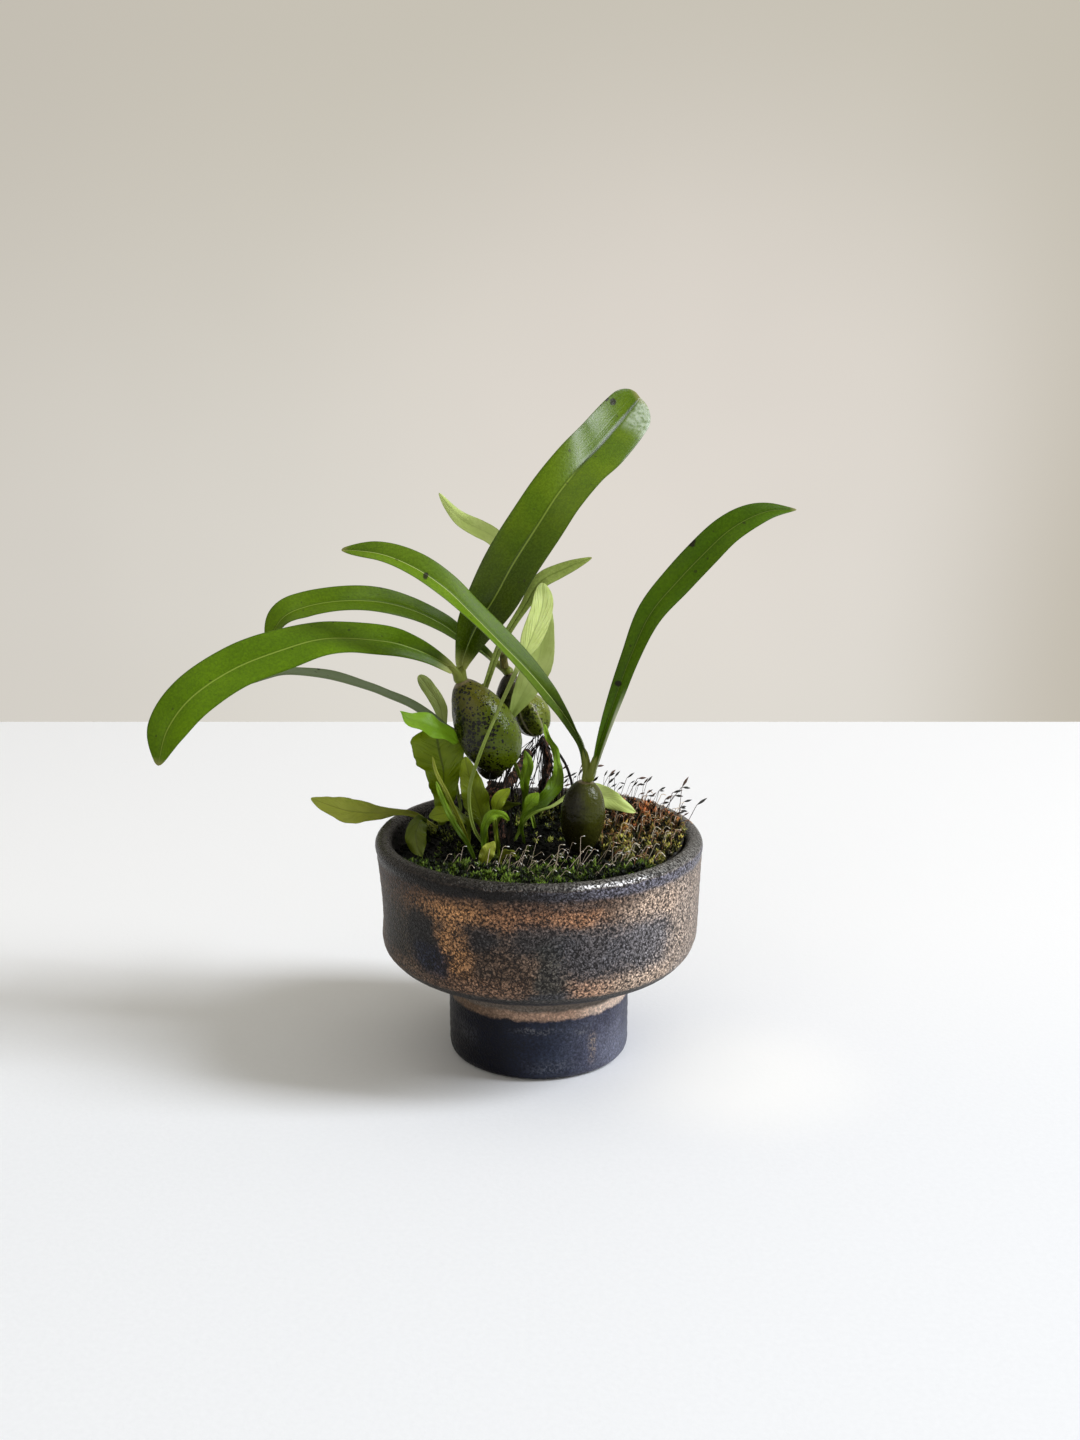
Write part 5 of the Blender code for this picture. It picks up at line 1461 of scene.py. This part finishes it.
def moss():
    shoots = collection_of("shoots", [moss_shoot(f"shoot_{i}", *row) for i, row in enumerate(SHOOTS)])
    for node, row in MOSS.items():
        pad = moss_pad(node + "_cushion", *row["pad"])
        grown(pad, "scatter", Spacing=0.00082, Density=3e6, Patchiness=0.45, Patch_Scale=160.0, Smallest=0.6,
              Largest=1.4, Tilt=0.45, Sink=-0.0003, Seed=row["seed"], Pieces=shoots,
              Material=FINISHES[row["finish"]])
        place(pad, [node])
    strays = moss_pad("stray_shoots", 0, 359, 1, 30, 0.0, 0.0)
    grown(strays, "scatter", Spacing=0.0011, Density=6e5, Patchiness=0.75, Patch_Scale=130.0, Smallest=0.6,
          Largest=1.3, Tilt=0.5, Sink=-0.0003, Seed=27, Keep_Ground=0.0, Pieces=shoots,
          Material=FINISHES["moss_green"])
    place(strays, [])
    drop(shoots)


def spore_stalks():
    for name, row in STALKS.items():
        rows, build = STALK_KINDS[row["kind"]]
        stalks = collection_of("stalks", [
            spore_stalk(f"{row['kind']}_{i}", *shape, **build) for i, shape in enumerate(rows)])
        bed = moss_pad(name, *row["pad"])
        grown(bed, "scatter", Patch_Scale=110.0, Smallest=0.7, Largest=1.15, Turn=0.8, Sink=-0.0006,
              Keep_Ground=0.0, Pieces=stalks, Material=FINISHES[row["finish"]], **row["spread"])
        drop(stalks)
        place(bed, [])


def bulb(name, shape):
    """Pseudobulb: a sphere drawn out between two points, narrower at its top."""
    top, bottom = Vector(shape["top"]), Vector(shape["bottom"])
    axis = top - bottom
    steps = 40
    profile = []
    for i in range(steps + 1):
        turn = math.pi * i / steps
        height = -math.cos(turn)
        radius = shape["radius"] * math.sin(turn) * (1 - shape["egg"] * height)
        profile.append((max(0.0, radius), height * axis.length / 2))
    obj = profile_object(profile, name + "_skin")
    ribs = shape.get("ribs", 0)
    grown(obj, "turned", Segments=72, Rows=64, Wobble=0.0004, Wobble_Scale=70.0, Rib_Count=float(ribs),
          Rib_Depth=0.06 if ribs else 0.0, Wrinkle=0.0003, Wrinkle_Scale=420.0, Seed=top.x * 0.1,
          Material=FINISHES[shape["finish"]])
    turn = axis.to_track_quat("Z", "Y").to_matrix().to_4x4()
    obj.data.transform(Matrix.Translation((top + bottom) / 2 * MM) @ turn)
    place(outward(obj), [name])


def even_stations(rows, count):
    """The curve through the rows, read at equal distances along its first three columns."""
    points = curve_through(rows)
    travelled = [0.0]
    for a, b in zip(points, points[1:]):
        travelled.append(travelled[-1] + math.dist(a[:3], b[:3]))
    result = []
    seg = 0
    for i in range(count):
        want = travelled[-1] * i / (count - 1)
        while seg < len(points) - 2 and travelled[seg + 1] < want:
            seg += 1
        part = min(1.0, (want - travelled[seg]) / (travelled[seg + 1] - travelled[seg]))
        result.append([a + (b - a) * part for a, b in zip(points[seg], points[seg + 1])])
    return result


def blade(name, shape, nodes, slot_name, **looks):
    """Leaf or frond along its route; looks are inputs of the blade tree."""
    rows = even_stations(shape["route"], 80)
    mids = [Vector(row[:3]) * MM for row in rows]
    halves, faces, sides = [], [], []
    for i, row in enumerate(rows):
        ahead = (mids[min(i + 1, len(mids) - 1)] - mids[max(i - 1, 0)]).normalized()
        front = Vector((0, -1, 0))
        front = (front - ahead * ahead.dot(front)).normalized()
        roll = math.radians(row[4])
        face = front * math.cos(roll) + ahead.cross(front) * math.sin(roll)
        halves.append(max(0.4, row[3]) * MM)
        faces.append(face)
        sides.append(ahead.cross(face))
    obj = new_object(name + "_blade", line_mesh(mids, name, {"half": halves, "face": faces, "side": sides}))
    grown(obj, "blade", Fold=math.radians(shape.get("fold", FROND_FOLD)), Tip_Length=shape["tip"] * MM,
          Ripple=shape["ripple"], Lobing=shape.get("lobing", 0.0), Material=FINISHES[shape["finish"]],
          **looks)
    place(outward(obj), nodes)


def leaves():
    for i, (name, shape) in enumerate(LEAVES.items()):
        blade(name, shape, [name], "leaf", Seed=i + 1.0, **LEAF_BUILD)


def fronds():
    for i, (name, shape) in enumerate(FRONDS.items()):
        blade(name, shape, [name], "frond", Seed=1.7 * i, **FROND_BUILD)
    blade("frond_broad_flap", FLAP, [], "frond", Seed=5.0, **FLAP_BUILD)


def tube_object(bm, name, finish_name):
    bmesh.ops.recalc_face_normals(bm, faces=bm.faces)
    obj = new_object(name, mesh_from(bm, name))
    obj.data.materials.append(FINISHES[finish_name])
    obj.data.shade_smooth()
    return obj


def tube_piece(name, route, radius, finish_name, sides, rough, seed, steps):
    """Round stem or root along a route of (x, y, z, thickness factor)."""
    rows = even_stations([list(row) + [1.0] * (4 - len(row)) for row in route], steps)
    bm = bmesh.new()
    points = [Vector(row[:3]) * MM for row in rows]
    ends = [min(1.0, 0.55 + 0.45 * min(i, steps - 1 - i) / 2) for i in range(steps)]
    tube(bm, points, [radius * row[3] * end * MM for row, end in zip(rows, ends)], sides, seed, rough)
    return tube_object(bm, name, finish_name)


def stems():
    for i, (name, shape) in enumerate(STEMS.items()):
        piece = tube_piece(name + "_fibrous", shape["route"], shape["radius"], shape["finish"],
                           shape["sides"], shape["rough"], i * 3.1, 60)
        place(piece, [name])
    for i, (name, route) in enumerate(ROOTS.items()):
        place(tube_piece(name + "_wiry", route, 0.42, "black_root", 8, 0.25, i * 1.7, 50), [name])


def necks():
    """Short pale stalks where the leaves leave the bulbs."""
    for i, (name, (route, radius)) in enumerate(NECKS.items()):
        place(tube_piece(name, route, radius, "neck_pale", 18, 0.05, i * 2.3, 16), [])


def hair_roots():
    """Fine roots that hang from the bulbs to the mix, and fibres that cling to the stump."""
    shake = random.Random(5)
    bm = bmesh.new()
    steps = 14
    for start, reach, (x, y), spread, count in HAIR_BUNCHES:
        for _ in range(count):
            first = Vector(start) + Vector([shake.uniform(-reach, reach) for _ in range(3)]) * 0.6
            last_x, last_y = x + shake.uniform(-spread, spread), y + shake.uniform(-spread, spread) * 0.6
            last = Vector((last_x, last_y, soil_height(last_x, last_y) + 0.2))
            swing = Vector((shake.uniform(-2.5, 2.5), shake.uniform(-2.5, 2.5), shake.uniform(-1, 3)))
            route = [first, first.lerp(last, 0.35) + swing, first.lerp(last, 0.7) + swing * 0.4, last]
            points = [Vector(row) * MM for row in even_stations([list(p) for p in route], steps)]
            radius = shake.uniform(0.10, 0.22)
            tube(bm, points, [radius * (1 - 0.4 * i / (steps - 1)) * MM for i in range(steps)], 4)
    place(tube_object(bm, "hair_roots", "black_root"), [])


# ================================================================ stage

def table_finish():
    """White table, a little greyer in front and dimmer towards the window lamp, so that it looks even;
    painted light right of the pot.
    """
    t, shader = finish("table_white", Specular_IOR_Level=0.2)
    here = object_place(t)
    soft = t.noise(here, 700.0, 3.0, 0.6)
    colour = t.blend((0.83, 0.84, 0.87), (0.89, 0.9, 0.93), soft)
    far = t.span(t.separate(here)["Y"], -0.08, 0.12)
    colour = t.blend(colour, (0.925, 0.92, 0.93), far * 0.85)
    # painted light: a paler patch on the table to the right of the pot
    painted_light_beside_pot = t.span(t.vector("DISTANCE", here, (0.055, -0.02, 0.0)), 0.05, 0.01)
    colour = t.blend(colour, (0.97, 0.965, 0.96), painted_light_beside_pot * 0.8)
    window = LAMPS["window"]["spot"]
    from_lamp = t.vector("DISTANCE", here, (window[0], window[1], 0.0))
    colour = t.shade(colour, t.span(from_lamp, 2.35, 0.9, 1.0, 0.24))
    paint(t, shader, colour, 0.75, soft, 0.0002, 0.25)


def wall_finish():
    """Warm grey wall that glows by itself, with painted shade at top and sides and painted light behind the
    plant; seen from behind it isn't there.
    """
    mat = bpy.data.materials.new("wall_warm_grey")
    mat.use_nodes = True
    mat.node_tree.nodes.clear()
    FINISHES["wall_warm_grey"] = mat
    t = Tree(mat.node_tree)
    here = object_place(t)
    spot = t.separate(here)
    # painted shade: the wall darkens towards the top, the right-hand corner and the left
    height = t.span(spot["Z"], 0.05, 0.34)
    colour = t.blend((0.735, 0.705, 0.645), (0.575, 0.54, 0.462), height)
    corner = t.span(spot["X"], 0.15, 0.28) * (height * -0.5 + 0.8)
    colour = t.blend(colour, (0.5, 0.455, 0.375), corner)
    colour = t.blend(colour, (0.5, 0.465, 0.42), t.span(spot["X"], -0.04, -0.32) * 0.35)
    # painted light: a paler patch on the wall behind the plant, a little to the right
    painted_light_pool = t.span(t.vector("DISTANCE", here, (0.07, 0.375, 0.15)), 0.22, 0.03)
    colour = t.blend(colour, (0.78, 0.715, 0.66), painted_light_pool * 0.5)
    colour = t.blend(colour, (0.5, 0.47, 0.43), t.span(t.noise(here, 6.0, 2.0), 0.35, 0.7) * 0.08)
    glow = t.out("ShaderNodeEmission", {"Color": colour})
    clear = t.out("ShaderNodeBsdfTransparent")
    behind = t.node("ShaderNodeNewGeometry").outputs["Backfacing"]
    mixed = t.out("ShaderNodeMixShader", {0: behind, 1: glow, 2: clear})
    t.node("ShaderNodeOutputMaterial", {"Surface": mixed})


def stage_piece(name, finish_name, corners):
    """Flat piece of the stage through four corners."""
    mesh = bpy.data.meshes.new(name)
    mesh.from_pydata(corners, [], [(0, 1, 2, 3)])
    obj = new_object(name, mesh)
    obj.data.materials.append(FINISHES[finish_name])
    return obj


def floor_and_wall():
    table_finish()
    wall_finish()
    side, front, back = 2.5, -3.0, 0.374
    stage_piece("table", "table_white",
                [(-side, front, 0), (side, front, 0), (side, back, 0), (-side, back, 0)])
    low, high, depth = -0.3, 2.2, 0.375
    wall = stage_piece("wall", "wall_warm_grey",
                       [(-side, depth, low), (side, depth, low), (side, depth, high), (-side, depth, high)])
    wall.visible_diffuse = False
    wall.visible_shadow = False


# Area lamps aimed at the plant: power in watts, size and place in metres.
LAMPS = {
    "window": dict(power=102.0, size=(0.85, 1.7), spot=(2.46, -0.39, 2.01), colour=(0.9, 0.94, 1.0)),
    "ceiling": dict(power=9.0, size=(2.4, 2.4), spot=(0.0, 0.0, 2.4), colour=(1.0, 0.965, 0.87)),
    "room_fill": dict(power=3.0, size=(1.2, 0.9), spot=(-0.5, -1.2, 0.8), colour=(1.0, 0.97, 0.9)),
}
LAMP_AIM = Vector((0, 0, 0.06))


def room_light():
    """Dim even light from all round; glossy surfaces and the camera see a brighter, greyer room."""
    world = bpy.data.worlds.new("room")
    bpy.context.scene.world = world
    world.use_nodes = True
    t = Tree(world.node_tree)
    back = world.node_tree.nodes["Background"]
    ray = t.node("ShaderNodeLightPath").outputs
    seen = t.math("MAXIMUM", ray["Is Camera Ray"],
                  t.math("MAXIMUM", ray["Is Glossy Ray"], ray["Is Transmission Ray"]))
    t.feed(back.inputs["Color"], t.blend((1.0, 0.96, 0.85), (0.5, 0.48, 0.445), seen))
    t.feed(back.inputs["Strength"], t.span(seen, 0.0, 1.0, 0.32, 1.0, smooth=False))


def light():
    room_light()
    for name, row in LAMPS.items():
        lamp = bpy.data.lights.new(name, "AREA")
        lamp.energy = row["power"]
        lamp.shape = "RECTANGLE"
        lamp.size, lamp.size_y = row["size"]
        lamp.color = row["colour"]
        obj = new_object(name, lamp)
        obj.location = row["spot"]
        obj.rotation_euler = (LAMP_AIM - Vector(row["spot"])).to_track_quat("-Z", "Y").to_euler()
        obj.visible_camera = False


def camera():
    """45 mm lens, just above the plant's middle and tilted 14.4 degrees down."""
    made = bpy.data.cameras.new("camera")
    made.lens = 45.0
    made.sensor_width = 36.0
    made.clip_start = 0.01
    obj = new_object("camera", made)
    obj.location = (0.00035, -0.482, 0.2207)
    obj.rotation_euler = (math.radians(90 - 14.4), 0.0, 0.0)
    bpy.context.scene.camera = obj
    bpy.context.scene.view_settings.view_transform = "Standard"


def build():
    for make in (turned_tree, blade_tree, scatter_tree, dots_group, grain_group, blade_lines_group,
                 glaze_patch_group, pebble_group, all_finishes, camera, pot, potting_mix, moss, spore_stalks):
        make()
    for name, shape in BULBS.items():
        bulb(name, shape)
    for make in (leaves, fronds, stems, hair_roots, necks, floor_and_wall, light):
        make()


build()
